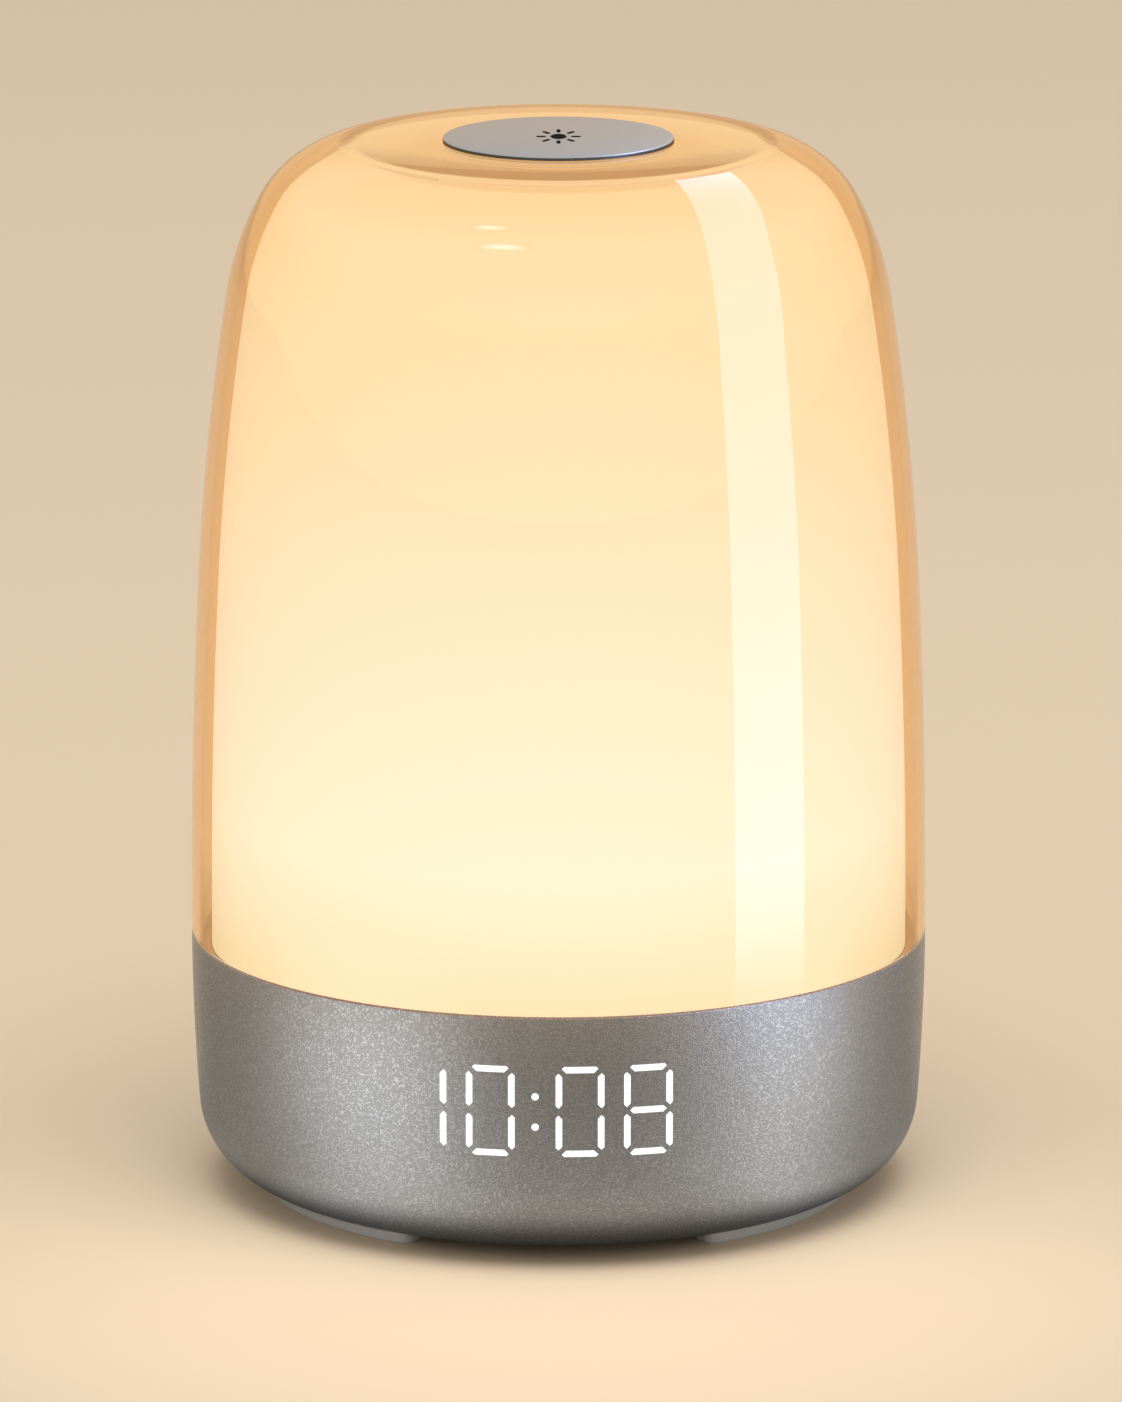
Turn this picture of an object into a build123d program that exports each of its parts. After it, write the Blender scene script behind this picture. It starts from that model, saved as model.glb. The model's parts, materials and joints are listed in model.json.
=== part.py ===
from build123d import *
import math
import os

# Bedside alarm clock lamp: a metallic bowl that holds the clock, a clear amber shade over an opal
# light body, and a round press button on top. Front is -Y, up is +Z and the floor is Z = 0.
# Lengths are in millimetres, angles in degrees.

# Outer form: tangent arcs from the seam, down round the bowl and up round the shade
base_radius = 60.0
seam_height = 42.85
lamp_height = 172.55
foot_height = 1.55
bowl_side_arc = 384.0
bowl_corner_arc = 13.5
shade_side_arc = 1142.0
shade_upper_arc = 447.0
shade_shoulder_arc = 48.0
shade_crown_arc = 18.2
shade_upper_angle = 8.94
shade_shoulder_angle = 28.4

# Walls
bowl_wall = 2.4
window_wall = 1.0
shade_wall = 1.6
shade_gap = 1.7
diffuser_wall = 1.6
overrun = 1.0

# Lap joint at the seam, and the deck that snaps into the shade
seam_gap = 0.2
lap_depth = 6.5
lap_lip = 0.8
lap_clearance = 0.1
lap_neck = 1.5
diffuser_clearance = 0.3
deck_drop = 1.5
deck_thickness = 2.0
deck_clearance = 0.2
deck_post_length = 18.8
bead_reach = 0.6
bead_width = 1.2

# Feet
foot_overhang = 3.0
foot_width = 6.0
foot_seat = 0.8
foot_web = 2.0
foot_corner = 2.0
foot_edge = 0.4
foot_clearance = 0.1
foot_span_angle = 60.0
foot_rear_angle = 90.0
foot_names = ("foot_rear", "foot_front_left", "foot_front_right")

# Bottom cover, its pillars and screws
cover_thickness = 2.4
cover_flange = 1.2
cover_step = 2.5
cover_clearance = 0.2
pillar_radius = 4.0
pillar_margin = 0.6
pillar_web = 3.0
pillar_angles = (30.0, 150.0, 210.0, 330.0)
screw_radius = 1.45
screw_clearance = 0.05
screw_hole_clearance = 0.2
screw_head_radius = 2.75
screw_head_height = 2.0
screw_thread_depth = 9.0
screw_drive_width = 0.8
screw_drive_length = 3.4
screw_drive_depth = 1.0

# Speaker in the cover
speaker_radius_share = 0.369
speaker_headroom = 2.2
speaker_gasket_height = 0.8
speaker_rim = 2.0
speaker_flange = 1.0
speaker_seat_clearance = 0.2
speaker_seat_wall = 1.4
speaker_seat_height = 3.0
speaker_seat_margin = 1.0
surround_lap = 0.8
surround_width = 2.0
cone_thickness = 0.4
cone_depth_share = 0.3
dust_cap_share = 0.286
basket_wall = 0.8
basket_depth_share = 0.5
basket_back_share = 0.607
magnet_share = 0.643
speaker_pin_radius = 0.45
grille_hole_radius = 1.05
grille_margin = 0.75
grille_ring_count = 3
grille_holes_per_ring = 6

# Back-up cell, its cup and contacts, and the bayonet door
cell_radius = 10.0
cell_thickness = 3.2
cell_edge = 0.4
cell_clearance = 0.25
cell_lift = 0.25
cell_cup_wall = 1.5
cell_cup_margin = 1.0
cell_ceiling = 1.2
contact_room = 1.2
contact_thickness = 0.3
contact_width = 2.0
contact_length = 12.0
contact_clearance = 0.1
contact_dimple_radius = 1.5
contact_pin_radius = 0.5
door_plate = 1.2
door_gap = 0.1
door_lap = 1.2
door_clearance = 0.25
neck_extra = 0.6
neck_clearance = 0.3
lug_reach = 1.6
lug_thickness = 1.2
lug_span_angle = 28.0
notch_extra_angle = 8.0
door_turn_angle = 45.0
lug_count = 3
coin_slot_width = 1.8
coin_slot_length = 16.0
coin_slot_depth = 0.9

# Circuit boards and the pieces on the main board
board_thickness = 1.6
board_clearance = 2.0
board_chord_gap = 0.5
chip_width = 12.0
chip_height = 1.4
capacitor_radius = 4.0
capacitor_height = 10.0
inductor_width = 7.0
inductor_height = 4.0
crystal_length = 10.0
crystal_width = 4.0
crystal_height = 3.5
chip_place_shares = (-0.22, 0.43)
capacitor_place_shares = (0.25, 0.43)
inductor_place_shares = (-0.25, -0.5)
crystal_place_shares = (0.22, -0.5)

# Board to board connections
header_depth = 4.0
header_height = 3.0
display_header_length = 20.0
rear_header_length = 16.0
led_header_length = 10.0
led_header_width = 2.5
led_header_height = 8.5
led_header_setback = 13.0
led_header_clearance = 0.4
header_pin_width = 0.6
header_pin_pitch = 2.5
header_pin_count = 4
connector_width = 6.0
connector_height = 5.0
lead_radius = 0.55
lead_spacing = 1.6
lead_hole_radius = 2.0

# Clock display: four seven-segment digits and a colon, shone through the window
display_offset = -3.7
display_margin = 0.95
digit_pitch = 10.85
colon_pitch = 14.24
digit_width = 6.7
digit_height = 13.9
segment_length = 5.8
segment_width = 1.05
colon_dot_radius = 0.6
colon_spacing = 5.05
mask_margin = 0.75
mask_depth = 9.0
mask_gap = 0.1
mask_clearance = 0.3
display_board_lap = 1.2
segment_led_width = 0.8
segment_led_height = 0.5

# Tactile switches, used under the top button and behind the keys
switch_width = 6.0
switch_height = 3.5
stem_radius = 1.75
stem_length = 0.8
stem_hidden = 1.0
stem_clearance = 0.15
press_travel = 0.5

# Keys at the back
key_count = 5
key_pitch = 11.0
key_width = 8.0
key_height = 5.0
key_proud = 0.6
key_edge = 0.3
key_level = 7.5
key_clearance = 0.25
key_flange = 0.8
key_flange_depth = 1.2
key_gap = 0.15
key_plunger_radius = 1.5
key_plunger_least = 0.6
rear_board_height = 14.0
rear_board_margin = 2.0

# Power inlet
usb_width = 8.94
usb_height = 3.26
usb_depth = 7.35
usb_wall = 0.31
usb_cavity = 6.2
usb_recess = 0.6
usb_clearance = 0.2
usb_tongue_width = 6.7
usb_tongue_height = 0.7
usb_tongue_length = 4.6

# Light source on the deck
led_board_gap = 0.3
led_ring_shares = (0.382, 0.765)
led_ring_counts = (8, 16)
led_length = 3.5
led_width = 2.8
led_height = 0.8
led_screw_circle_share = 0.574
led_screw_count = 3
led_screw_rear_angle = 90.0
led_screw_radius = 0.95
led_screw_head_radius = 1.9
led_screw_head_height = 1.2
led_screw_depth = 4.5
led_boss_radius = 2.8
led_boss_height = 3.5
reflector_thickness = 0.4
reflector_width = 20.5

# Press button, its guide cup and the lead tube that carries the cup
disc_radius = 18.6
disc_thickness = 0.9
disc_proud = 0.7
disc_edge = 0.3
disc_clearance = 0.3
press_margin = 0.1
plunger_plate = 1.5
plunger_boss_radius = 3.0
skirt_wall = 1.5
skirt_clearance = 1.6
guide_clearance = 0.25
hook_count = 3
hook_reach = 1.1
hook_height = 1.2
hook_width = 4.0
hook_clearance = 0.3
hook_stop = 0.1
cup_bore = 15.5
cup_wall = 1.5
cup_depth = 10.2
cup_floor = 1.6
cup_flange_reach = 1.3
cup_flange = 1.2
cup_clearance = 0.3
switch_board_radius = 12.0
tube_radius = 3.0
tube_wall = 0.7
tube_clearance = 0.1
tube_seat_depth = 1.2
socket_wall = 1.5
socket_depth = 6.0

# Turns of the tangent arcs, in radians, worked out so that the chain ends flat at the given heights
bowl_arcs = (bowl_side_arc, bowl_corner_arc)
bowl_turn = math.asin(
    (seam_height - foot_height - bowl_corner_arc) / (bowl_side_arc - bowl_corner_arc)
)
bowl_turns = (bowl_turn, math.pi / 2)
shade_arcs = (shade_side_arc, shade_upper_arc, shade_shoulder_arc, shade_crown_arc)
upper_turn = math.radians(shade_upper_angle)
shoulder_turn = math.radians(shade_shoulder_angle)
upper_rise = shade_upper_arc * math.sin(upper_turn)
shoulder_rise = shade_shoulder_arc * (math.sin(shoulder_turn) - math.sin(upper_turn))
crown_rise = shade_crown_arc * (1 - math.sin(shoulder_turn))
side_turn = math.asin(
    (lamp_height - seam_height - upper_rise - shoulder_rise - crown_rise)
    / (shade_side_arc - shade_upper_arc)
)
shade_turns = (side_turn, upper_turn, shoulder_turn, math.pi / 2)

# Levels of the base, from the floor up
lap_floor = seam_height - lap_depth
deck_top = seam_height - deck_drop
deck_under = deck_top - deck_thickness
cover_top = foot_height + cover_thickness
board_top = deck_under - deck_post_length
board_under = board_top - board_thickness
speaker_level = cover_top + speaker_gasket_height
speaker_depth = board_under - speaker_headroom - speaker_level
basket_depth = basket_depth_share * speaker_depth
cone_depth = cone_depth_share * speaker_depth

# Radii of the base, from the wall inwards
diffuser_inset = shade_wall + shade_gap
spigot_radius = base_radius - lap_lip - lap_clearance
spigot_inner = base_radius - diffuser_inset + diffuser_clearance
deck_radius = spigot_inner - deck_clearance
bowl_flat_radius = (
    base_radius - bowl_side_arc + (bowl_side_arc - bowl_corner_arc) * math.cos(bowl_turn)
)
foot_outer = bowl_flat_radius + foot_overhang
foot_inner = foot_outer - foot_width
cover_radius = foot_inner - foot_web
cover_opening = cover_radius - cover_step
pillar_circle = cover_opening - pillar_radius - pillar_margin
main_board_radius = base_radius - bowl_wall - board_clearance
screw_hole_radius = screw_radius + screw_hole_clearance
reflector_outer = base_radius - diffuser_inset - diffuser_wall - led_board_gap
reflector_inner = reflector_outer - reflector_width
led_board_radius = reflector_inner - led_board_gap
led_screw_circle = led_screw_circle_share * led_board_radius
led_screw_step = 360 / led_screw_count
led_screw_angles = [led_screw_rear_angle + index * led_screw_step for index in range(led_screw_count)]
speaker_radius = speaker_radius_share * cover_opening
speaker_mouth = speaker_radius - speaker_rim
dust_cap_radius = dust_cap_share * speaker_radius
basket_back_radius = basket_back_share * speaker_radius
magnet_radius = magnet_share * speaker_radius
grille_ring_pitch = (speaker_mouth - grille_margin - grille_hole_radius) / grille_ring_count
speaker_seat_inner = speaker_radius + speaker_seat_clearance
speaker_seat_outer = speaker_seat_inner + speaker_seat_wall
speaker_y = cover_opening - speaker_seat_outer - speaker_seat_margin

# Cell cup and door, from the floor up and from the middle out
neck_radius = cell_radius + neck_extra
neck_bore = neck_radius + neck_clearance
lug_radius = neck_radius + lug_reach
lug_bore = lug_radius + neck_clearance
door_radius = lug_bore + door_lap
cell_cup_outer = lug_bore + cell_cup_wall
cell_y = cell_cup_outer + cell_cup_margin - cover_opening
door_plate_top = foot_height + door_plate
lug_under = cover_top + door_gap
lug_top = lug_under + lug_thickness
cell_under = lug_top + cell_lift
cell_top = cell_under + cell_thickness
cell_bore = cell_radius + cell_clearance
ceiling_under = cell_top + contact_room
ceiling_top = ceiling_under + cell_ceiling

# Levels and radii under the press button, from the top down
disc_top = lamp_height + disc_proud
disc_under = disc_top - disc_thickness
recess_floor = disc_under - press_travel - press_margin
recess_radius = disc_radius + disc_clearance
shade_under = lamp_height - shade_wall
diffuser_top = lamp_height - diffuser_inset
cup_floor_top = shade_under - cup_depth
cup_under = cup_floor_top - cup_floor
cup_outer = cup_bore + cup_wall
plunger_radius = cup_bore - guide_clearance
plate_under = disc_under - plunger_plate
skirt_under = cup_floor_top + skirt_clearance
switch_board_top = cup_floor_top + board_thickness
tube_bore = tube_radius + tube_clearance

# Places of the clock display and of the pieces at the back
mask_width = colon_pitch + 2 * digit_pitch + digit_width + segment_width + 2 * mask_margin
mask_height = digit_height + segment_width + 2 * mask_margin
display_level = lap_floor - display_margin - mask_height / 2
key_centre_level = board_top + key_level
usb_level = board_under - usb_height / 2
key_places = [(index - (key_count - 1) / 2) * key_pitch for index in range(key_count)]
UPRIGHT = (Align.CENTER, Align.CENTER, Align.MIN)
CORNER = (Align.MIN, Align.MIN, Align.MIN)


def disc(radius, low, high, x=0.0, y=0.0):
    """Upright cylinder from one height to another."""
    return Pos(x, y, low) * Cylinder(radius, high - low, align=UPRIGHT)


def ring(outer, inner, low, high, x=0.0, y=0.0):
    """Upright tube from one height to another."""
    return disc(outer, low, high, x, y) - disc(inner, low, high, x, y)


def block(x_span, y_span, z_span):
    """Box between three pairs of coordinates."""
    sizes = [span[1] - span[0] for span in (x_span, y_span, z_span)]
    return Pos(x_span[0], y_span[0], z_span[0]) * Box(*sizes, align=CORNER)


def about(middle, width):
    """Pair of coordinates a width apart, either side of a middle."""
    return (middle - width / 2, middle + width / 2)


def polar(radius, angle):
    """Plan place at a radius and a bearing."""
    return (radius * math.cos(math.radians(angle)), radius * math.sin(math.radians(angle)))


def prism(sketch, near, far):
    """Sketch drawn in X and Z, carried along Y from near to far."""
    return extrude(Plane.XZ.offset(-far) * sketch, far - near)


def sector(inner, outer, middle, span, low, high):
    """Upright slab between two radii and two bearings."""
    start = middle - span / 2
    outer_arc = CenterArc((0, 0), outer, start, span)
    inner_arc = CenterArc((0, 0), inner, start, span)
    sides = [Line(outer_arc @ end, inner_arc @ end) for end in (0, 1)]
    slab = make_face([outer_arc, inner_arc, *sides])
    return extrude(Pos(0, 0, low) * slab, high - low, dir=(0, 0, 1))


def turned(points):
    """Closed outline of radii and heights, turned about the upright axis."""
    outline = Polyline(*[(radius, 0, level) for radius, level in points], close=True)
    return revolve(make_face(outline), Axis.Z)


def arc_chain(arcs, turns, inset, rise):
    """Tangent arcs from the seam to the axis, moved inwards; rise is 1 upwards and -1 downwards."""
    edges = []
    centre_radius = base_radius - arcs[0]
    centre_level = seam_height
    begin = 0.0
    for index, (arc, end) in enumerate(zip(arcs, turns)):
        if index:
            step = arcs[index - 1] - arc
            centre_radius += step * math.cos(begin)
            centre_level += rise * step * math.sin(begin)
        points = [
            (
                centre_radius + (arc - inset) * math.cos(turn),
                0,
                centre_level + rise * (arc - inset) * math.sin(turn),
            )
            for turn in (begin, (begin + end) / 2, end)
        ]
        edges.append(ThreePointArc(*points))
        begin = end
    return edges


def chain_body(edges, foot_level):
    """Solid of an arc chain that goes straight down or up to a level at the seam end."""
    start = edges[0] @ 0
    finish = edges[-1] @ 1
    corners = [finish, (0, 0, finish.Z), (0, 0, foot_level)]
    if abs(start.Z - foot_level) > 0:
        corners.append((start.X, 0, foot_level))
    corners.append(start)
    lines = [Line(first, second) for first, second in zip(corners, corners[1:])]
    return revolve(make_face([*edges, *lines]), Axis.Z)


def bowl_body(inset):
    """Solid inside of the bowl's outer face moved inwards, up to the seam."""
    return chain_body(arc_chain(bowl_arcs, bowl_turns, inset, -1), seam_height)


def shade_body(inset, floor):
    """Solid inside of the shade's outer face moved inwards, standing on a floor."""
    return chain_body(arc_chain(shade_arcs, shade_turns, inset, 1), floor)


def bowl_radius(level, inset):
    """Radius of the bowl's side at a level, moved inwards."""
    arc = bowl_side_arc - inset
    return base_radius - bowl_side_arc + math.sqrt(arc**2 - (seam_height - level) ** 2)


def slot_outline(width, height, x, z, grow=0.0):
    """Oblong with round ends in X and Z, grown all round."""
    return Pos(x, z) * SlotOverall(width + 2 * grow, height + 2 * grow)


def tactile_switch(place):
    """Body and stem of a tactile switch that stands at a place and points up its Z."""
    body = Box(switch_width, switch_width, switch_height, align=UPRIGHT)
    well_depth = stem_hidden + 2 * press_travel
    body -= disc(stem_radius + stem_clearance, switch_height - well_depth, switch_height + overrun)
    stem = disc(stem_radius, switch_height - stem_hidden, switch_height + stem_length)
    return place * body, place * stem


# Where the display board's front face and the rear board's outer face stand
display_face = mask_depth - bowl_radius(display_level, window_wall + mask_gap)
display_back = display_face + board_thickness
key_low_level = key_centre_level - key_height / 2 - key_flange
key_wall_radius = bowl_radius(key_low_level, bowl_wall + key_gap)


def key_back(x):
    """Y of the flat back of the flange of the key at x."""
    reach = abs(x) + key_width / 2 + key_flange
    return math.sqrt(key_wall_radius**2 - reach**2) - key_flange_depth


switch_stack = switch_height + stem_length + key_plunger_least
rear_face = min(key_back(x) for x in key_places) - switch_stack
rear_board_half = key_places[-1] + switch_width / 2 + rear_board_margin
usb_mouth = bowl_radius(usb_level, 0) - usb_recess


def base_housing():
    """Bowl with its lap, clock window, cover opening, foot seats and apertures."""
    bowl = bowl_body(0) - bowl_body(bowl_wall)
    rim = seam_height - seam_gap
    bowl -= disc(base_radius + overrun, rim, seam_height + overrun)
    bowl -= disc(base_radius - lap_lip, lap_floor, seam_height)
    bowl -= disc(cover_opening, foot_height - overrun, cover_top + overrun)
    bowl -= disc(cover_radius + cover_clearance, foot_height - overrun, foot_height + cover_flange)
    window = block(
        about(display_offset, mask_width + 2 * mask_clearance),
        (-base_radius, display_face),
        about(display_level, mask_height + 2 * mask_clearance),
    )
    bowl -= window & bowl_body(window_wall)
    for x in key_places:
        hole = slot_outline(key_width, key_height, x, key_centre_level, key_clearance)
        bowl -= prism(hole, rear_face, base_radius + overrun)
    inlet = slot_outline(usb_width, usb_height, 0, usb_level, usb_clearance)
    bowl -= prism(inlet, rear_face, base_radius + overrun)
    for index in range(len(foot_names)):
        bowl -= foot_pad(index, foot_clearance)
    return bowl


def foot_pad(index, grow):
    """Arc-shaped pad with rounded corners, grown in plan."""
    middle = foot_rear_angle + index * 360 / len(foot_names)
    grow_angle = math.degrees(2 * grow / foot_outer)
    pad = sector(
        foot_inner - grow,
        foot_outer + grow,
        middle,
        foot_span_angle + grow_angle,
        0,
        foot_height + foot_seat,
    )
    return fillet(pad.edges().filter_by(Axis.Z), foot_corner + grow)


def foot(index):
    """Foot pad with a soft lower edge."""
    pad = foot_pad(index, 0)
    return fillet(pad.edges().group_by(Axis.Z)[0], foot_edge)


def grille_holes():
    """Holes of the speaker grille, in rings."""
    holes = [disc(grille_hole_radius, foot_height - overrun, cover_top + overrun, 0, speaker_y)]
    for ring_index in range(1, grille_ring_count + 1):
        count = grille_holes_per_ring * ring_index
        for index in range(count):
            x, y = polar(ring_index * grille_ring_pitch, index * 360 / count)
            hole = disc(grille_hole_radius, foot_height - overrun, cover_top + overrun, x, speaker_y + y)
            holes.append(hole)
    return holes


def bayonet_sectors(outer, span, turn, low, high):
    """Three alike sectors about the cell's axis, from inside the neck to an outer radius."""
    lugs = []
    for index in range(lug_count):
        middle = index * 360 / lug_count + turn
        lugs.append(Pos(0, cell_y, 0) * sector(cell_radius, outer, middle, span, low, high))
    return lugs


def bottom_cover():
    """Underside cover with grille, speaker seat, screw pillars and the cell cup."""
    cover = disc(cover_radius, foot_height, foot_height + cover_flange)
    cover += disc(cover_opening - cover_clearance, foot_height, cover_top)
    cover += ring(
        speaker_seat_outer, speaker_seat_inner, cover_top, cover_top + speaker_seat_height, 0, speaker_y
    )
    cover += disc(cell_cup_outer, foot_height, cell_under + cell_ceiling, 0, cell_y)
    cover += disc(cell_bore + cell_cup_wall, foot_height, ceiling_top, 0, cell_y)
    for angle in pillar_angles:
        cover += disc(pillar_radius, foot_height, board_under, *polar(pillar_circle, angle))
    for angle in pillar_angles:
        x, y = polar(pillar_circle, angle)
        well = screw_head_radius + screw_hole_clearance
        cover -= disc(well, foot_height - overrun, board_under - pillar_web, x, y)
        cover -= disc(screw_hole_radius, foot_height, board_under + overrun, x, y)
    cover -= grille_holes()
    cover -= disc(door_radius + door_clearance, foot_height - overrun, door_plate_top + door_gap, 0, cell_y)
    cover -= disc(neck_bore, foot_height, cell_under, 0, cell_y)
    cover -= disc(lug_bore, cover_top, cell_under, 0, cell_y)
    cover -= bayonet_sectors(
        lug_bore, lug_span_angle + notch_extra_angle, door_turn_angle, foot_height, cell_under
    )
    cover -= disc(cell_bore, cell_under, ceiling_under, 0, cell_y)
    pin_hole = contact_pin_radius + contact_clearance
    cover -= disc(pin_hole, ceiling_under, ceiling_top + overrun, 0, cell_y)
    cover -= block(
        (cell_radius, cell_radius + contact_thickness + 2 * contact_clearance),
        about(cell_y, contact_width + 2 * contact_clearance),
        (cell_under, ceiling_top + overrun),
    )
    return cover


def battery_door():
    """Bayonet door with a coin slot, turned about the cell's axis."""
    door = disc(door_radius, foot_height, door_plate_top, 0, cell_y)
    door += disc(neck_radius, foot_height, lug_top, 0, cell_y)
    for lug in bayonet_sectors(lug_radius, lug_span_angle, 0, lug_under, lug_top):
        door += lug
    slot = SlotOverall(coin_slot_length, coin_slot_width)
    door -= extrude(Pos(0, cell_y, foot_height) * slot, coin_slot_depth)
    return door


def backup_cell():
    """Coin cell with softened edges."""
    cell = disc(cell_radius, cell_under, cell_top, 0, cell_y)
    return fillet(cell.edges().filter_by(GeomType.CIRCLE), cell_edge)


def cell_contact_negative():
    """Leaf on the cup's ceiling, with a dimple on the cell and a pin to the main board."""
    leaf = block(
        about(0, contact_length),
        about(cell_y, contact_width),
        (ceiling_under - contact_thickness, ceiling_under),
    )
    leaf += disc(contact_dimple_radius, cell_top, ceiling_under, 0, cell_y)
    leaf += disc(contact_pin_radius, cell_top, board_under, 0, cell_y)
    return leaf


def cell_contact_positive():
    """Strip at the cell's side that runs up to the main board."""
    near = cell_radius + contact_clearance
    return block(
        (near, near + contact_thickness),
        about(cell_y, contact_width),
        (cell_under + contact_clearance, board_under),
    )


def cover_screw(angle):
    """Screw up through a pillar and the main board into a deck post."""
    x, y = polar(pillar_circle, angle)
    seat = board_under - pillar_web
    screw = disc(screw_head_radius, seat - screw_head_height, seat, x, y)
    screw += disc(screw_radius, seat, board_top + screw_thread_depth, x, y)
    head_low = seat - screw_head_height
    drive = (head_low - overrun, head_low + screw_drive_depth)
    screw -= block(about(x, screw_drive_length), about(y, screw_drive_width), drive)
    screw -= block(about(x, screw_drive_width), about(y, screw_drive_length), drive)
    return screw


def speaker_gasket():
    """Foam ring between the cover and the speaker's flange."""
    return ring(speaker_radius, speaker_mouth, cover_top, speaker_level, 0, speaker_y)


def speaker_frame():
    """Pressed basket: flange with a rebate for the surround, tapered wall and back plate."""
    back_inner = basket_back_radius - basket_wall
    frame = turned([
        (speaker_mouth, 0),
        (speaker_radius, 0),
        (speaker_radius, speaker_flange),
        (speaker_mouth + basket_wall, speaker_flange),
        (basket_back_radius, basket_depth),
        (dust_cap_radius, basket_depth),
        (dust_cap_radius, basket_depth - basket_wall),
        (back_inner, basket_depth - basket_wall),
        (speaker_mouth, cone_thickness),
    ])
    frame -= disc(speaker_mouth + surround_lap, -overrun, cone_thickness)
    return Pos(0, speaker_y, speaker_level) * frame


def speaker_cone():
    """Surround, paper cone and dust cap in one thin shell."""
    surround_outer = speaker_mouth + surround_lap
    surround_inner = surround_outer - surround_width
    cone = turned([
        (surround_outer, 0),
        (surround_outer, cone_thickness),
        (surround_inner, cone_thickness),
        (dust_cap_radius, cone_depth),
        (0, cone_depth),
        (0, cone_depth - cone_thickness),
        (dust_cap_radius, cone_depth - cone_thickness),
        (surround_inner, 0),
    ])
    return Pos(0, speaker_y, speaker_level) * cone


def speaker_magnet():
    """Magnet behind the basket with its pole through the back plate."""
    low = speaker_level + basket_depth
    magnet = disc(magnet_radius, low, speaker_level + speaker_depth, 0, speaker_y)
    pole = dust_cap_radius - speaker_seat_clearance
    magnet += disc(pole, speaker_level + basket_depth - basket_wall, low, 0, speaker_y)
    return magnet


def speaker_contacts():
    """Two pins from the speaker's flange to the main board."""
    reach = speaker_radius - (speaker_rim - basket_wall) / 2
    low = speaker_level + speaker_flange
    return [disc(speaker_pin_radius, low, board_under, side * reach, speaker_y) for side in (-1, 1)]


def main_board():
    """Round board, cut straight in front of which the display stands."""
    board = disc(main_board_radius, board_under, board_top)
    front = display_back + board_chord_gap
    board -= block(about(0, 2 * base_radius), (-base_radius, front), (board_under, board_top))
    for angle in pillar_angles:
        board -= disc(screw_hole_radius, board_under, board_top, *polar(pillar_circle, angle))
    return board


def board_place(shares):
    """Place on the main board, as shares of its radius."""
    return [share * main_board_radius for share in shares]


def controller_chip():
    """Flat square controller."""
    x, y = board_place(chip_place_shares)
    return block(about(x, chip_width), about(y, chip_width), (board_top, board_top + chip_height))


def supply_capacitor():
    """Round can capacitor of the supply."""
    place = board_place(capacitor_place_shares)
    return disc(capacitor_radius, board_top, board_top + capacitor_height, *place)


def supply_inductor():
    """Square inductor with rounded corners."""
    x, y = board_place(inductor_place_shares)
    outline = RectangleRounded(inductor_width, inductor_width, inductor_width / 4)
    return extrude(Pos(x, y, board_top) * outline, inductor_height)


def clock_crystal():
    """Oblong can of the timekeeping crystal."""
    x, y = board_place(crystal_place_shares)
    return extrude(Pos(x, y, board_top) * SlotOverall(crystal_length, crystal_width), crystal_height)


def display_header():
    """Right-angle strip between the main board and the display board."""
    return block(
        about(display_offset, display_header_length),
        (display_back, display_back + header_depth),
        (board_top, board_top + header_height),
    )


def rear_header():
    """Right-angle strip between the main board and the rear board."""
    back = rear_face - board_thickness
    return block(
        about(0, rear_header_length),
        (back - header_depth, back),
        (board_top, board_top + header_height),
    )


def led_header():
    """Upright strip with pins through the deck to the light board."""
    span = about(-led_header_setback, led_header_width)
    strip = block(about(0, led_header_length), span, (board_top, board_top + led_header_height))
    for index in range(header_pin_count):
        x = (index - (header_pin_count - 1) / 2) * header_pin_pitch
        strip += block(
            about(x, header_pin_width),
            about(-led_header_setback, header_pin_width),
            (board_top, deck_top),
        )
    return strip


def lead_connector():
    """Small socket on the main board for the top switch's leads."""
    side = about(0, connector_width)
    return block(side, side, (board_top, board_top + connector_height))


def switch_leads():
    """Two leads up through the tube to the top switch's board."""
    low = board_top + connector_height
    return [disc(lead_radius, low, cup_floor_top, x, 0) for x in about(0, lead_spacing)]


def segment_places():
    """Centre and lie of each segment of the four digits, as (x, z, upright)."""
    half_width = digit_width / 2
    half_height = digit_height / 2
    cells = [(0, level, False) for level in (-half_height, 0, half_height)]
    cells += [(x, z / 2, True) for x in (-half_width, half_width) for z in (-half_height, half_height)]
    inner = colon_pitch / 2
    outer = inner + digit_pitch
    places = []
    for middle in (-outer, -inner, inner, outer):
        for x, z, upright in cells:
            places.append((display_offset + middle + x, display_level + z, upright))
    return places


def colon_places():
    """Centres of the two colon dots, as (x, z)."""
    return [(display_offset, level) for level in about(display_level, colon_spacing)]


def segment_outline(x, z, upright):
    """Long hexagon of one segment."""
    tip = segment_length / 2
    half = segment_width / 2
    shoulder = tip - half
    upper = [(tip, 0), (shoulder, half), (-shoulder, half)]
    corners = upper + [(-x, -z) for x, z in upper]
    return Pos(x, z) * Rot(0, 0, 90 if upright else 0) * Polygon(*corners)


def display_board():
    """Upright board that carries the segment lights."""
    height = mask_height + 2 * display_board_lap
    return block(
        about(display_offset, mask_width), (display_face, display_back), about(display_level, height)
    )


def segment_mask():
    """Light guide block with one cell for each segment, its front curved to the window."""
    mask = block(
        about(display_offset, mask_width), (-base_radius, display_face), about(display_level, mask_height)
    )
    mask &= bowl_body(window_wall + mask_gap)
    cells = [segment_outline(*place) for place in segment_places()]
    cells += [Pos(x, z) * Circle(colon_dot_radius) for x, z in colon_places()]
    return mask - [prism(cell, -base_radius, display_face) for cell in cells]


def segment_leds():
    """One small light at the bottom of each cell."""
    places = [(x, z) for x, z, upright in segment_places()] + colon_places()
    depth = (display_face - segment_led_height, display_face)
    return [block(about(x, segment_led_width), depth, about(z, segment_led_width)) for x, z in places]


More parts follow.
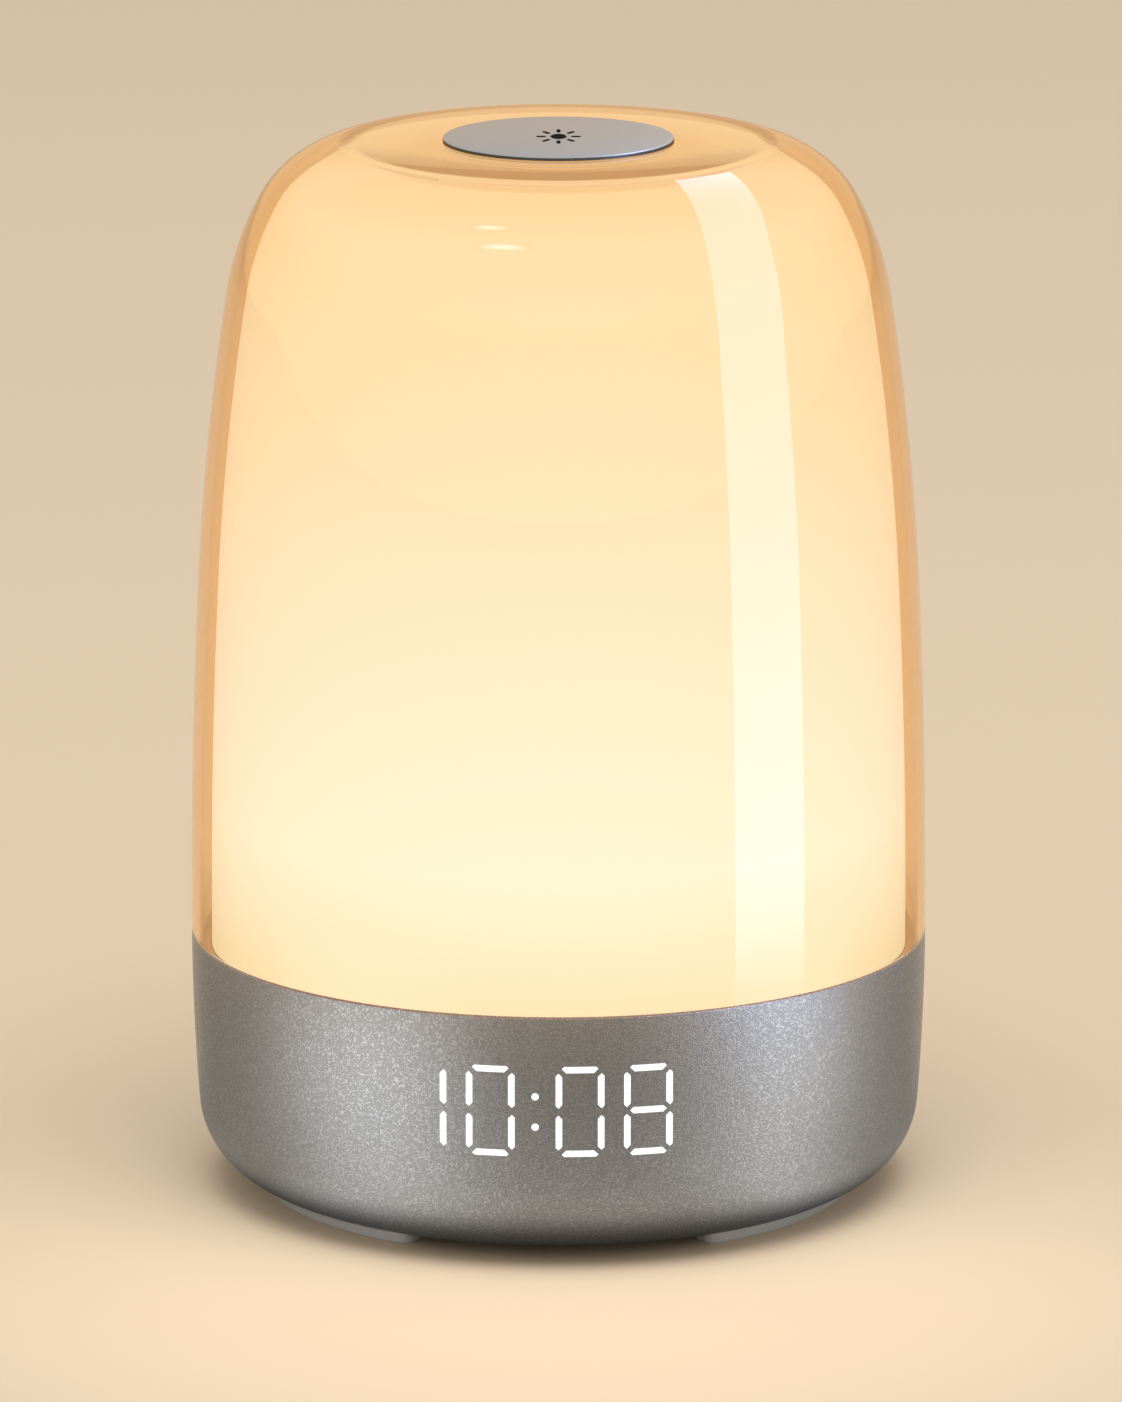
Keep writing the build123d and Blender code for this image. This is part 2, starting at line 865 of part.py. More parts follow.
def rear_board():
    """Upright board on the main board, behind the keys."""
    return block(
        (-rear_board_half, rear_board_half),
        (rear_face - board_thickness, rear_face),
        (board_top, board_top + rear_board_height),
    )


def rear_switch(x):
    """Switch on the rear board, pointing out at the key."""
    return tactile_switch(Pos(x, rear_face, key_centre_level) * Rot(-90, 0, 0))


def rear_key(x):
    """Oblong key whose face follows the bowl, with a stop flange and a plunger."""
    back = key_back(x)
    cap = prism(slot_outline(key_width, key_height, x, key_centre_level), back, base_radius + key_proud)
    cap &= bowl_body(-key_proud)
    face_edges = cap.faces().sort_by(Axis.Y)[-1].edges()
    cap = fillet(face_edges, key_edge)
    flange = slot_outline(key_width, key_height, x, key_centre_level, key_flange)
    key = cap + (prism(flange, back, base_radius) & bowl_body(bowl_wall + key_gap))
    nose = rear_face + switch_height + stem_length
    return key + prism(Pos(x, key_centre_level) * Circle(key_plunger_radius), nose, back)


def usb_c_shell():
    """Metal shell of the power inlet, open to the back."""
    outline = slot_outline(usb_width, usb_height, 0, usb_level)
    cavity = slot_outline(usb_width, usb_height, 0, usb_level, -usb_wall)
    shell = prism(outline, usb_mouth - usb_depth, usb_mouth)
    return shell - prism(cavity, usb_mouth - usb_cavity, usb_mouth + overrun)


def usb_c_tongue():
    """Contact tongue inside the power inlet."""
    low = usb_mouth - usb_cavity
    return block(
        about(0, usb_tongue_width), (low, low + usb_tongue_length), about(usb_level, usb_tongue_height)
    )


def deck_plate():
    """Deck with screw posts, light board bosses, tube seat and header slot."""
    deck = disc(deck_radius, deck_under, deck_top)
    for angle in pillar_angles:
        x, y = polar(pillar_circle, angle)
        deck += disc(pillar_radius, board_top, deck_under, x, y)
        pilot = screw_radius + screw_clearance
        deck -= disc(pilot, board_top - overrun, board_top + screw_thread_depth + overrun, x, y)
    for angle in led_screw_angles:
        x, y = polar(led_screw_circle, angle)
        deck += disc(led_boss_radius, deck_under - led_boss_height, deck_under, x, y)
        pilot = led_screw_radius + screw_clearance
        deck -= disc(pilot, deck_top - led_screw_depth, deck_top + overrun, x, y)
    deck -= disc(lead_hole_radius, deck_under - overrun, deck_top)
    deck -= disc(tube_bore, deck_top - tube_seat_depth, deck_top + overrun)
    deck -= block(
        about(0, led_header_length + led_header_clearance),
        about(-led_header_setback, led_header_width + led_header_clearance),
        (deck_under - overrun, deck_top + overrun),
    )
    return deck


def led_board():
    """Round board of the light source."""
    board = disc(led_board_radius, deck_top, deck_top + board_thickness)
    board -= disc(tube_bore, deck_top, deck_top + board_thickness)
    for angle in led_screw_angles:
        hole = led_screw_radius + screw_hole_clearance
        board -= disc(hole, deck_top, deck_top + board_thickness, *polar(led_screw_circle, angle))
    return board


def led_chips():
    """Light chips in two rings."""
    low = deck_top + board_thickness
    chips = []
    for share, count in zip(led_ring_shares, led_ring_counts):
        middle = share * led_board_radius
        for index in range(count):
            chip = block(about(middle, led_length), about(0, led_width), (low, low + led_height))
            chips.append(Rot(0, 0, index * 360 / count) * chip)
    return chips


def led_board_screw(angle):
    """Small screw that holds the light board to the deck."""
    x, y = polar(led_screw_circle, angle)
    seat = deck_top + board_thickness
    screw = disc(led_screw_head_radius, seat, seat + led_screw_head_height, x, y)
    return screw + disc(led_screw_radius, deck_top - led_screw_depth, seat, x, y)


def reflector_ring():
    """White sheet on the deck round the light board."""
    return ring(reflector_outer, reflector_inner, deck_top, deck_top + reflector_thickness)


def outer_shade():
    """Clear shade with its lap, snap bead and button recess."""
    hollow_floor = seam_height - lap_neck
    shade = shade_body(0, seam_height) + disc(spigot_radius, lap_floor, seam_height)
    shade -= shade_body(shade_wall, hollow_floor)
    shade -= disc(spigot_inner, lap_floor, hollow_floor)
    bead_middle = (spigot_inner + spigot_radius) / 2
    shade += ring(bead_middle, spigot_inner - bead_reach, deck_under - bead_width, deck_under)
    shade -= disc(recess_radius, recess_floor, lamp_height + overrun)
    shade -= disc(cup_bore, shade_under - overrun, lamp_height)
    return shade


def inner_diffuser():
    """Opal light body that stands on the deck, with a collar under the shade's recess."""
    collar_bore = cup_outer + cup_clearance
    light_body = shade_body(diffuser_inset, deck_top)
    light_body -= shade_body(diffuser_inset + diffuser_wall, deck_top)
    light_body += disc(collar_bore + diffuser_wall, diffuser_top - diffuser_wall, shade_under)
    return light_body - disc(collar_bore, diffuser_top - 2 * diffuser_wall, lamp_height)


def hook_blocks(near, far, width, low, high):
    """Alike blocks about the upright axis, between two radii."""
    hook = block((near, far), about(0, width), (low, high))
    return [Rot(0, 0, index * 360 / hook_count) * hook for index in range(hook_count)]


def switch_cup():
    """Guide cup for the press button, with hook windows and the socket for the tube."""
    cup = disc(cup_outer, cup_under, shade_under)
    flange_top = diffuser_top - diffuser_wall
    cup += disc(cup_outer + cup_flange_reach, flange_top - cup_flange, flange_top)
    cup += disc(tube_bore + socket_wall, cup_under - socket_depth, cup_under)
    cup -= disc(cup_bore, cup_floor_top, shade_under)
    cup -= disc(tube_bore, cup_under - socket_depth, cup_under)
    cup -= disc(lead_hole_radius, cup_under, cup_floor_top)
    low = skirt_under - press_travel - hook_clearance
    high = skirt_under + hook_height + hook_stop
    width = hook_width + 2 * hook_clearance
    return cup - hook_blocks(cup_bore - cup_wall, cup_outer + overrun, width, low, high)


def wire_tube():
    """Clear tube from the deck to the cup, round the switch leads."""
    return ring(tube_radius, tube_radius - tube_wall, deck_top - tube_seat_depth, cup_under)


def top_switch_board():
    """Round board in the cup, under the press button."""
    return disc(switch_board_radius, cup_floor_top, switch_board_top)


def top_switch():
    """Switch under the press button."""
    return tactile_switch(Pos(0, 0, switch_board_top))


def button_disc():
    """Round metal disc with a chamfered edge."""
    plate = disc(disc_radius, disc_under, disc_top)
    return chamfer(plate.edges().group_by(Axis.Z)[-1], disc_edge)


def button_plunger():
    """Plunger under the disc: plate, guide skirt with hooks, and the boss on the switch."""
    plunger = disc(plunger_radius, skirt_under, disc_under)
    plunger -= disc(plunger_radius - skirt_wall, skirt_under, plate_under)
    boss_low = switch_board_top + switch_height + stem_length
    plunger += disc(plunger_boss_radius, boss_low, plate_under)
    near = plunger_radius - skirt_wall / 2
    far = plunger_radius + hook_reach
    for hook in hook_blocks(near, far, hook_width, skirt_under, skirt_under + hook_height):
        plunger += hook
    return plunger


def all_nodes():
    """Every piece of the lamp by name; a list is a group of alike pieces."""
    nodes = {
        "base_housing": base_housing(),
        "bottom_cover": bottom_cover(),
        "cover_screws": [cover_screw(angle) for angle in pillar_angles],
        "deck_plate": deck_plate(),
        "main_board": main_board(),
        "controller_chip": controller_chip(),
        "supply_capacitor": supply_capacitor(),
        "supply_inductor": supply_inductor(),
        "clock_crystal": clock_crystal(),
        "lead_connector": lead_connector(),
        "led_header": led_header(),
        "display_header": display_header(),
        "rear_header": rear_header(),
        "speaker_gasket": speaker_gasket(),
        "speaker_frame": speaker_frame(),
        "speaker_cone": speaker_cone(),
        "speaker_magnet": speaker_magnet(),
        "speaker_contacts": speaker_contacts(),
        "display_board": display_board(),
        "segment_mask": segment_mask(),
        "segment_leds": segment_leds(),
        "rear_board": rear_board(),
        "rear_switches": [rear_switch(x)[0] for x in key_places],
        "usb_c_shell": usb_c_shell(),
        "usb_c_tongue": usb_c_tongue(),
        "led_board": led_board(),
        "led_chips": led_chips(),
        "led_board_screws": [led_board_screw(angle) for angle in led_screw_angles],
        "reflector_ring": reflector_ring(),
        "inner_diffuser": inner_diffuser(),
        "outer_shade": outer_shade(),
        "switch_cup": switch_cup(),
        "top_switch_board": top_switch_board(),
        "top_switch": top_switch()[0],
        "wire_tube": wire_tube(),
        "switch_leads": switch_leads(),
        "backup_cell": backup_cell(),
        "cell_contact_negative": cell_contact_negative(),
        "cell_contact_positive": cell_contact_positive(),
        "battery_door": battery_door(),
        "button_disc": button_disc(),
        "button_plunger": button_plunger(),
        "top_switch_stem": top_switch()[1],
    }
    for index, name in enumerate(foot_names):
        nodes[name] = foot(index)
    for number, x in enumerate(key_places, start=1):
        nodes[f"rear_key_{number}"] = rear_key(x)
        nodes[f"rear_switch_stem_{number}"] = rear_switch(x)[1]
    return nodes


os.makedirs("parts", exist_ok=True)
for name, shape in all_nodes().items():
    piece = Compound(shape) if isinstance(shape, list) else shape
    export_step(piece, f"parts/{name}.step")
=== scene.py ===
import json
import logging
import math
from collections.abc import Iterable, Iterator, Sequence
from dataclasses import dataclass
from enum import Enum
from typing import ClassVar

import bmesh
import bpy
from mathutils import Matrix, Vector


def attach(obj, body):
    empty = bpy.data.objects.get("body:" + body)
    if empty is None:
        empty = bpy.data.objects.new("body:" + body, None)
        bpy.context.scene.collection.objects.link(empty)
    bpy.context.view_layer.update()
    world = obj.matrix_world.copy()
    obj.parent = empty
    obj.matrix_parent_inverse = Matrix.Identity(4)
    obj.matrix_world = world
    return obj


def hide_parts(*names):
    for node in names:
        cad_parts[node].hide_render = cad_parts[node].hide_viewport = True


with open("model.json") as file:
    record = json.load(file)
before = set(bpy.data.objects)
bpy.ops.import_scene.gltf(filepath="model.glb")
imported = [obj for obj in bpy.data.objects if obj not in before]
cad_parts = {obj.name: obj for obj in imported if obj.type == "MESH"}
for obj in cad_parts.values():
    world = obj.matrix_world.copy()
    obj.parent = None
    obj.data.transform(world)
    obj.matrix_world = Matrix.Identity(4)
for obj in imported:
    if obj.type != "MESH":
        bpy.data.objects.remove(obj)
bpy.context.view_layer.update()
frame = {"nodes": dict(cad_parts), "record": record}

# Bedside alarm clock lamp: a wrinkle-painted bowl with the clock, a clear amber shade over a glowing
# opal body, and a round press button. Sizes are in millimetres, and meshes are written in metres.
MM = 0.001
ROUND_SEGMENTS = 256
ARC_STEP = math.radians(2.0)
ARC_LENGTH = 4.0
SHARP_ANGLE = math.radians(28.0)
MERGE_DISTANCE = 0.001
QUARTER_TURN = math.pi / 2
WHITE = "#ffffff"
BLACK = "#000000"
LOG = logging.getLogger("alarm_clock_lamp")

Point = tuple[float, float]
Place = tuple[float, float, float]
Colour = tuple[float, float, float, float]
Tones = tuple[tuple[float, str], ...]
Tree = bpy.types.NodeTree
Socket = bpy.types.NodeSocket


class Body(Enum):
    """Bodies of the frame that the modelled pieces ride on."""

    BASE = "base"
    TOP_BUTTON = "top_button"


class Slot(Enum):
    """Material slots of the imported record."""

    BOWL = "wrinkle_paint_abs"
    COVER = "cover_abs"
    FEET = "foot_rubber"
    SCREWS = "screw_steel"
    WHITE_MOULDINGS = "white_abs"
    BOARDS = "circuit_board"
    LIGHT_BOARD = "light_board"
    BLACK_MOULDINGS = "black_epoxy"
    CANS = "can_aluminium"
    GASKET = "gasket_foam"
    SPEAKER = "speaker_steel"
    CONE = "cone_paper"
    CONTACTS = "contact_brass"
    DISPLAY_MASK = "mask_plastic"
    LIGHTS = "led_epoxy"
    INLET = "usb_steel"
    LIGHT_BODY = "opal_acrylic"
    SHADE = "amber_polycarbonate"
    TUBE = "clear_acrylic"
    LEADS = "lead_insulation"
    CELL = "cell_steel"
    BUTTON = "button_aluminium"
    KEYS = "key_abs"
    STEMS = "stem_nylon"


class Segment(Enum):
    """Bars of a seven-segment digit: place in half widths and half heights, and whether it is upright."""

    TOP = (0.0, 1.0, False)
    MIDDLE = (0.0, 0.0, False)
    BOTTOM = (0.0, -1.0, False)
    UPPER_LEFT = (-1.0, 0.5, True)
    UPPER_RIGHT = (1.0, 0.5, True)
    LOWER_LEFT = (-1.0, -0.5, True)
    LOWER_RIGHT = (1.0, -0.5, True)


LIT_BARS: dict[str, frozenset[Segment]] = {
    "0": frozenset(Segment) - {Segment.MIDDLE},
    "1": frozenset({Segment.UPPER_RIGHT, Segment.LOWER_RIGHT}),
    "8": frozenset(Segment),
}


def linear(colour: str, strength: float = 1.0) -> Colour:
    """Turns an sRGB hex colour to linear light.

    Args:
        colour: Colour as "#rrggbb".
        strength: Factor on the linear values.

    Returns:
        Linear red, green and blue, and an alpha of 1.
    """
    values = [int(colour[place : place + 2], 16) / 255 for place in (1, 3, 5)]
    light = [v / 12.92 if v <= 0.04045 else ((v + 0.055) / 1.055) ** 2.4 for v in values]
    return (light[0] * strength, light[1] * strength, light[2] * strength, 1.0)


def add_node(
    tree: Tree,
    kind: str,
    inputs: dict[str | int, object] | None = None,
    output: str | int = 0,
    tones: Tones = (),
    **settings: object,
) -> Socket | None:
    """Adds a shader node with its settings, values and links.

    Args:
        tree: Node tree that takes the node.
        kind: Node type, without the prefix that all of them share.
        inputs: Values or output sockets for the node's inputs, by name or index.
        output: Output that is wanted, by name or index.
        tones: Places and colours of a colour ramp, in rising order.
        settings: Attributes of the node.

    Returns:
        The wanted output, or None from a node that ends its tree.
    """
    node = tree.nodes.new("ShaderNode" + kind)
    for name, value in settings.items():
        setattr(node, name, value)
    if tones:
        elements = node.color_ramp.elements
        elements.remove(elements[1])
        elements[0].position = tones[0][0]
        elements[0].color = linear(tones[0][1])
        for place, colour in tones[1:]:
            elements.new(place).color = linear(colour)
    for name, value in (inputs or {}).items():
        if isinstance(value, Socket):
            tree.links.new(value, node.inputs[name])
        else:
            node.inputs[name].default_value = value
    return node.outputs[output] if node.outputs else None


@dataclass(frozen=True)
class Finish:
    """A surface finish; each kind fills in its shader."""

    coordinates: ClassVar[str] = "Object"

    name: str

    def shade(self, tree: Tree, place: Socket) -> Socket:
        """Adds the finish's nodes.

        Args:
            tree: Node tree of the material.
            place: Coordinates on the piece.

        Returns:
            The shader that ends the nodes.
        """
        raise NotImplementedError

    def absorb(self, tree: Tree) -> Socket | None:
        """Adds what the material takes from light that passes through it, if it lets any through."""
        return None

    def relief(
        self,
        tree: Tree,
        tones: tuple[Socket, Colour, Colour],
        bump: tuple[Socket, float, float],
        inputs: dict[str, object],
    ) -> Socket:
        """Adds a shader whose tone follows one pattern and whose face follows another.

        Args:
            tree: Node tree of the material.
            tones: Pattern of the tone, with the colours where it is lowest and highest.
            bump: Pattern of the face, with its strength and its depth in millimetres.
            inputs: The shader's other inputs.

        Returns:
            The shader that ends the nodes.
        """
        pattern, low, high = tones
        tone = add_node(tree, "Mix", {"Factor": pattern, "A": low, "B": high}, "Result", data_type="RGBA")
        height, strength, depth = bump
        face = add_node(tree, "Bump", {"Strength": strength, "Distance": depth * MM, "Height": height})
        return add_node(tree, "BsdfPrincipled", {"Base Color": tone, "Normal": face, **inputs})

    def material(self) -> bpy.types.Material:
        """Gives the finish's material, which is made on first use.

        Returns:
            The material.
        """
        found = bpy.data.materials.get(self.name)
        if found:
            return found
        made = bpy.data.materials.new(self.name)
        made.use_nodes = True
        tree = made.node_tree
        tree.nodes.clear()
        ends = {"Surface": self.shade(tree, add_node(tree, "TexCoord", output=self.coordinates))}
        inside = self.absorb(tree)
        if inside:
            ends["Volume"] = inside
        add_node(tree, "OutputMaterial", ends)
        return made


@dataclass(frozen=True)
class WrinklePaint(Finish):
    """Metallic paint that shrinks into fine worm-like ridges as it cures."""

    crest: str = "#c5c5c4"
    valley: str = "#a3a3a2"
    metallic: float = 0.92
    crest_roughness: float = 0.31
    valley_roughness: float = 0.43
    swirl: float = 0.45
    level: float = 0.5
    ridge_share: float = 0.115
    ridge_depth: float = 0.025
    ridge_bump: float = 0.55
    stroke: float = 0.6
    stroke_seed: float = 3.0
    stroke_ends: Point = (0.26, 0.4)

    def shade(self, tree: Tree, place: Socket) -> Socket:
        """Adds short ridges along the level lines of a soft noise, lighter and smoother on their crests.

        Args:
            tree: Node tree of the material.
            place: Coordinates on the piece.

        Returns:
            The shader that ends the nodes.
        """
        swirl = {"Vector": place, "Scale": 1 / (self.swirl * MM), "Detail": 0.0}
        field = add_node(tree, "TexNoise", swirl)
        away = add_node(tree, "Math", {0: field, 1: self.level}, operation="SUBTRACT")
        away = add_node(tree, "Math", {0: away}, operation="ABSOLUTE")
        near = {"Value": away, "From Min": self.ridge_share, "From Max": 0.0}
        ridge = add_node(tree, "MapRange", near, interpolation_type="SMOOTHSTEP")
        stroke = {"Vector": place, "W": self.stroke_seed, "Scale": 1 / (self.stroke * MM), "Detail": 0.0}
        breaks = add_node(tree, "TexNoise", stroke, noise_dimensions="4D")
        ends = {"Value": breaks, "From Min": self.stroke_ends[0], "From Max": self.stroke_ends[1]}
        whole = add_node(tree, "MapRange", ends, interpolation_type="SMOOTHSTEP")
        height = add_node(tree, "Math", {0: ridge, 1: whole}, operation="MULTIPLY")
        gloss = {"Value": height, "To Min": self.valley_roughness, "To Max": self.crest_roughness}
        return self.relief(
            tree,
            (height, linear(self.valley), linear(self.crest)),
            (height, self.ridge_bump, self.ridge_depth),
            {"Metallic": self.metallic, "Roughness": add_node(tree, "MapRange", gloss)},
        )


@dataclass(frozen=True)
class ClearPlastic(Finish):
    """Polished clear moulding, tinted through its thickness, with a painted glow inside the wall where one
    is given.
    """

    tint: str = WHITE
    absorption: float = 0.0
    ior: float = 1.5
    roughness: float = 0.0
    # Painted glow inside the wall: its colour, and its strength per millimetre of the way through
    painted_glow_colour: str = BLACK
    painted_glow_strength: float = 0.0
    wave: float = 22.0
    wave_depth: float = 0.05
    wave_bump: float = 0.03

    def shade(self, tree: Tree, place: Socket) -> Socket:
        """Adds a clear body whose polish has the faint waves of a moulding.

        Args:
            tree: Node tree of the material.
            place: Coordinates on the piece.

        Returns:
            The shader that ends the nodes.
        """
        wave = add_node(tree, "TexNoise", {"Vector": place, "Scale": 1 / (self.wave * MM), "Detail": 0.0})
        bump = {"Strength": self.wave_bump, "Distance": self.wave_depth * MM, "Height": wave}
        return add_node(
            tree,
            "BsdfPrincipled",
            {
                "Base Color": linear(WHITE),
                "Transmission Weight": 1.0,
                "IOR": self.ior,
                "Roughness": self.roughness,
                "Normal": add_node(tree, "Bump", bump),
            },
        )

    def absorb(self, tree: Tree) -> Socket | None:
        """Adds the tint, and a painted glow that stands in for light caught in the wall, both as strong as
        the way through is long.

        Args:
            tree: Node tree of the material.

        Returns:
            The shader of the inside, or None where the plastic has no tint.
        """
        if not self.absorption:
            return None
        tint = {"Color": linear(self.tint), "Density": self.absorption / MM}
        light = {"Color": linear(self.painted_glow_colour), "Strength": self.painted_glow_strength / MM}
        taken = add_node(tree, "VolumeAbsorption", tint)
        return add_node(tree, "AddShader", {0: taken, 1: add_node(tree, "Emission", light)})


@dataclass(frozen=True)
class GlowingOpal(Finish):
    """White acrylic lit from within by the lights on the deck below."""

    low: float = 41.35
    high: float = 170.95
    glow: Tones = ()
    strength: float = 1.0
    body: str = "#4a4844"
    roughness: float = 0.6
    cup_shade: str = "#f4ebde"
    cup_radii: Point = (22.0, 28.5)

    def shade(self, tree: Tree, place: Socket) -> Socket:
        """Adds a glow that is strongest a little above the lights and shaded on top by the switch cup.

        Args:
            tree: Node tree of the material.
            place: Coordinates on the piece.

        Returns:
            The shader that ends the nodes.
        """
        level = add_node(tree, "SeparateXYZ", {0: place}, "Z")
        ends = {"Value": level, "From Min": self.low * MM, "From Max": self.high * MM}
        share = add_node(tree, "MapRange", ends)
        span = self.high - self.low
        tones = tuple(((height - self.low) / span, colour) for height, colour in self.glow)
        glow = add_node(tree, "ValToRGB", {0: share}, tones=tones)
        flat = add_node(tree, "VectorMath", {0: place, 1: (1.0, 1.0, 0.0)}, operation="MULTIPLY")
        radius = add_node(tree, "VectorMath", {0: flat}, "Value", operation="LENGTH")
        near, far = self.cup_radii
        reach = {"Value": radius, "From Min": near * MM, "From Max": far * MM}
        clear = add_node(tree, "MapRange", reach, interpolation_type="SMOOTHSTEP")
        cup = {"Factor": clear, "A": linear(self.cup_shade), "B": linear(WHITE)}
        shadow = add_node(tree, "Mix", cup, "Result", data_type="RGBA")
        both = {"Factor": 1.0, "A": glow, "B": shadow}
        glow = add_node(tree, "Mix", both, "Result", data_type="RGBA", blend_type="MULTIPLY")
        return add_node(
            tree,
            "BsdfPrincipled",
            {
                "Base Color": linear(self.body),
                "Roughness": self.roughness,
                "Specular IOR Level": 0.0,
                "Emission Color": glow,
                "Emission Strength": self.strength,
            },
        )


@dataclass(frozen=True)
class Moulded(Finish):
    """Plastic, rubber, foam or paper with the grain of its mould."""

    colour: str = "#808080"
    roughness: float = 0.5
    ior: float = 1.53
    grain: float = 0.4
    depth: float = 0.02
    sheen: float = 0.0
    bump: float = 0.5
    gloss_change: float = 0.06
    cloud: float = 12.0
    cloud_shares: Point = (0.88, 1.1)

    def shade(self, tree: Tree, place: Socket) -> Socket:
        """Adds an even grain, with slight changes of tone and gloss across the piece.

        Args:
            tree: Node tree of the material.
            place: Coordinates on the piece.

        Returns:
            The shader that ends the nodes.
        """
        grain = add_node(tree, "TexNoise", {"Vector": place, "Scale": 1 / (self.grain * MM), "Detail": 2.0})
        cloud = add_node(tree, "TexNoise", {"Vector": place, "Scale": 1 / (self.cloud * MM), "Detail": 3.0})
        smooth, dull = self.roughness - self.gloss_change, self.roughness + self.gloss_change
        rough = add_node(tree, "MapRange", {"Value": grain, "To Min": smooth, "To Max": dull})
        dark, light = (linear(self.colour, share) for share in self.cloud_shares)
        return self.relief(
            tree,
            (cloud, dark, light),
            (grain, self.bump, self.depth),
            {"Roughness": rough, "IOR": self.ior, "Sheen Weight": self.sheen},
        )


@dataclass(frozen=True)
class WorkedMetal(Finish):
    """Bare or plated metal with the marks of its making."""

    colour: str = "#b8b8ba"
    roughness: float = 0.3
    grain: float = 0.15
    stretch: float = 1.0
    depth: float = 0.004
    bump: float = 0.4
    gloss_change: float = 0.07
    grain_shares: Point = (0.9, 1.08)

    def shade(self, tree: Tree, place: Socket) -> Socket:
        """Adds fine grain, drawn out along X where the metal was rolled or drawn.

        Args:
            tree: Node tree of the material.
            place: Coordinates on the piece.

        Returns:
            The shader that ends the nodes.
        """
        drawn = add_node(tree, "Mapping", {"Vector": place, "Scale": (1 / self.stretch, 1.0, 1.0)})
        grain = add_node(tree, "TexNoise", {"Vector": drawn, "Scale": 1 / (self.grain * MM), "Detail": 3.0})
        smooth, dull = self.roughness - self.gloss_change, self.roughness + self.gloss_change
        rough = add_node(tree, "MapRange", {"Value": grain, "To Min": smooth, "To Max": dull})
        dark, light = (linear(self.colour, share) for share in self.grain_shares)
        return self.relief(
            tree,
            (grain, dark, light),
            (grain, self.bump, self.depth),
            {"Metallic": 1.0, "Roughness": rough},
        )


@dataclass(frozen=True)
class BoardMask(Finish):
    """Solder mask over copper tracks on a board."""

    mask: str = "#123f26"
    track: str = "#1d5a38"
    roughness: float = 0.35
    ior: float = 1.5
    track_pitch: float = 1.6
    tracks: float = 3.0
    track_edge: Point = (0.42, 0.5)
    track_height: float = 0.035
    bump: float = 0.5

    def shade(self, tree: Tree, place: Socket) -> Socket:
        """Adds square-cornered tracks that stand a little proud under the mask.

        Args:
            tree: Node tree of the material.
            place: Coordinates on the piece.

        Returns:
            The shader that ends the nodes.
        """
        cell = {"Vector": place, "Scale": 1 / (self.tracks * self.track_pitch * MM)}
        cells = add_node(tree, "TexVoronoi", cell, "Distance", distance="CHEBYCHEV", feature="F1")
        bands = add_node(tree, "Math", {0: cells, 1: self.tracks}, operation="MULTIPLY")
        band = add_node(tree, "Math", {0: bands}, operation="FRACT")
        edge = {"Value": band, "From Min": self.track_edge[0], "From Max": self.track_edge[1]}
        track = add_node(tree, "MapRange", edge)
        return self.relief(
            tree,
            (track, linear(self.mask), linear(self.track)),
            (track, self.bump, self.track_height),
            {"Roughness": self.roughness, "IOR": self.ior},
        )


@dataclass(frozen=True)
class LitWindow(Finish):
    """Thin bare window lit from behind by its own light."""

    colour: str = WHITE
    strength: float = 1.1
    face: str = "#606060"
    roughness: float = 0.4
    cloud: float = 3.0
    dimmest: float = 0.95

    def shade(self, tree: Tree, place: Socket) -> Socket:
        """Adds an even white light with the slight unevenness of the moulding in front of it.

        Args:
            tree: Node tree of the material.
            place: Coordinates on the piece.

        Returns:
            The shader that ends the nodes.
        """
        cloud = add_node(tree, "TexNoise", {"Vector": place, "Scale": 1 / (self.cloud * MM), "Detail": 1.0})
        light = {"Factor": cloud, "A": linear(self.colour, self.dimmest), "B": linear(self.colour)}
        return add_node(
            tree,
            "BsdfPrincipled",
            {
                "Base Color": linear(self.face),
                "Roughness": self.roughness,
                "Emission Color": add_node(tree, "Mix", light, "Result", data_type="RGBA"),
                "Emission Strength": self.strength,
            },
        )


@dataclass(frozen=True)
class SweepPaper(Finish):
    """Plain pale paper under and behind the lamp, with a painted pool of light that makes it lightest in
    front of it.
    """

    far: str = "#decdb5"
    # Painted pool of light in front of the lamp: its colour, its middle and its reach
    near: str = "#fee8ca"
    middle: Place = (0.0, -60.0, 0.0)
    reach: float = 155.0
    roughness: float = 0.95
    ior: float = 1.3

    def shade(self, tree: Tree, place: Socket) -> Socket:
        """Adds a matt surface with a painted pool of light, which lightens it softly towards a place in
        front of the lamp.

        Args:
            tree: Node tree of the material.
            place: Coordinates on the piece.

        Returns:
            The shader that ends the nodes.
        """
        middle = Vector(self.middle) * MM
        away = add_node(tree, "VectorMath", {0: place, 1: middle}, "Value", operation="DISTANCE")
        reach = {"Value": away, "From Min": 0.0, "From Max": self.reach * MM}
        share = add_node(tree, "MapRange", reach, interpolation_type="SMOOTHERSTEP")
        sheet = {"Factor": share, "A": linear(self.near), "B": linear(self.far)}
        tone = add_node(tree, "Mix", sheet, "Result", data_type="RGBA")
        paper = {"Base Color": tone, "Roughness": self.roughness, "IOR": self.ior}
        return add_node(tree, "BsdfPrincipled", paper)


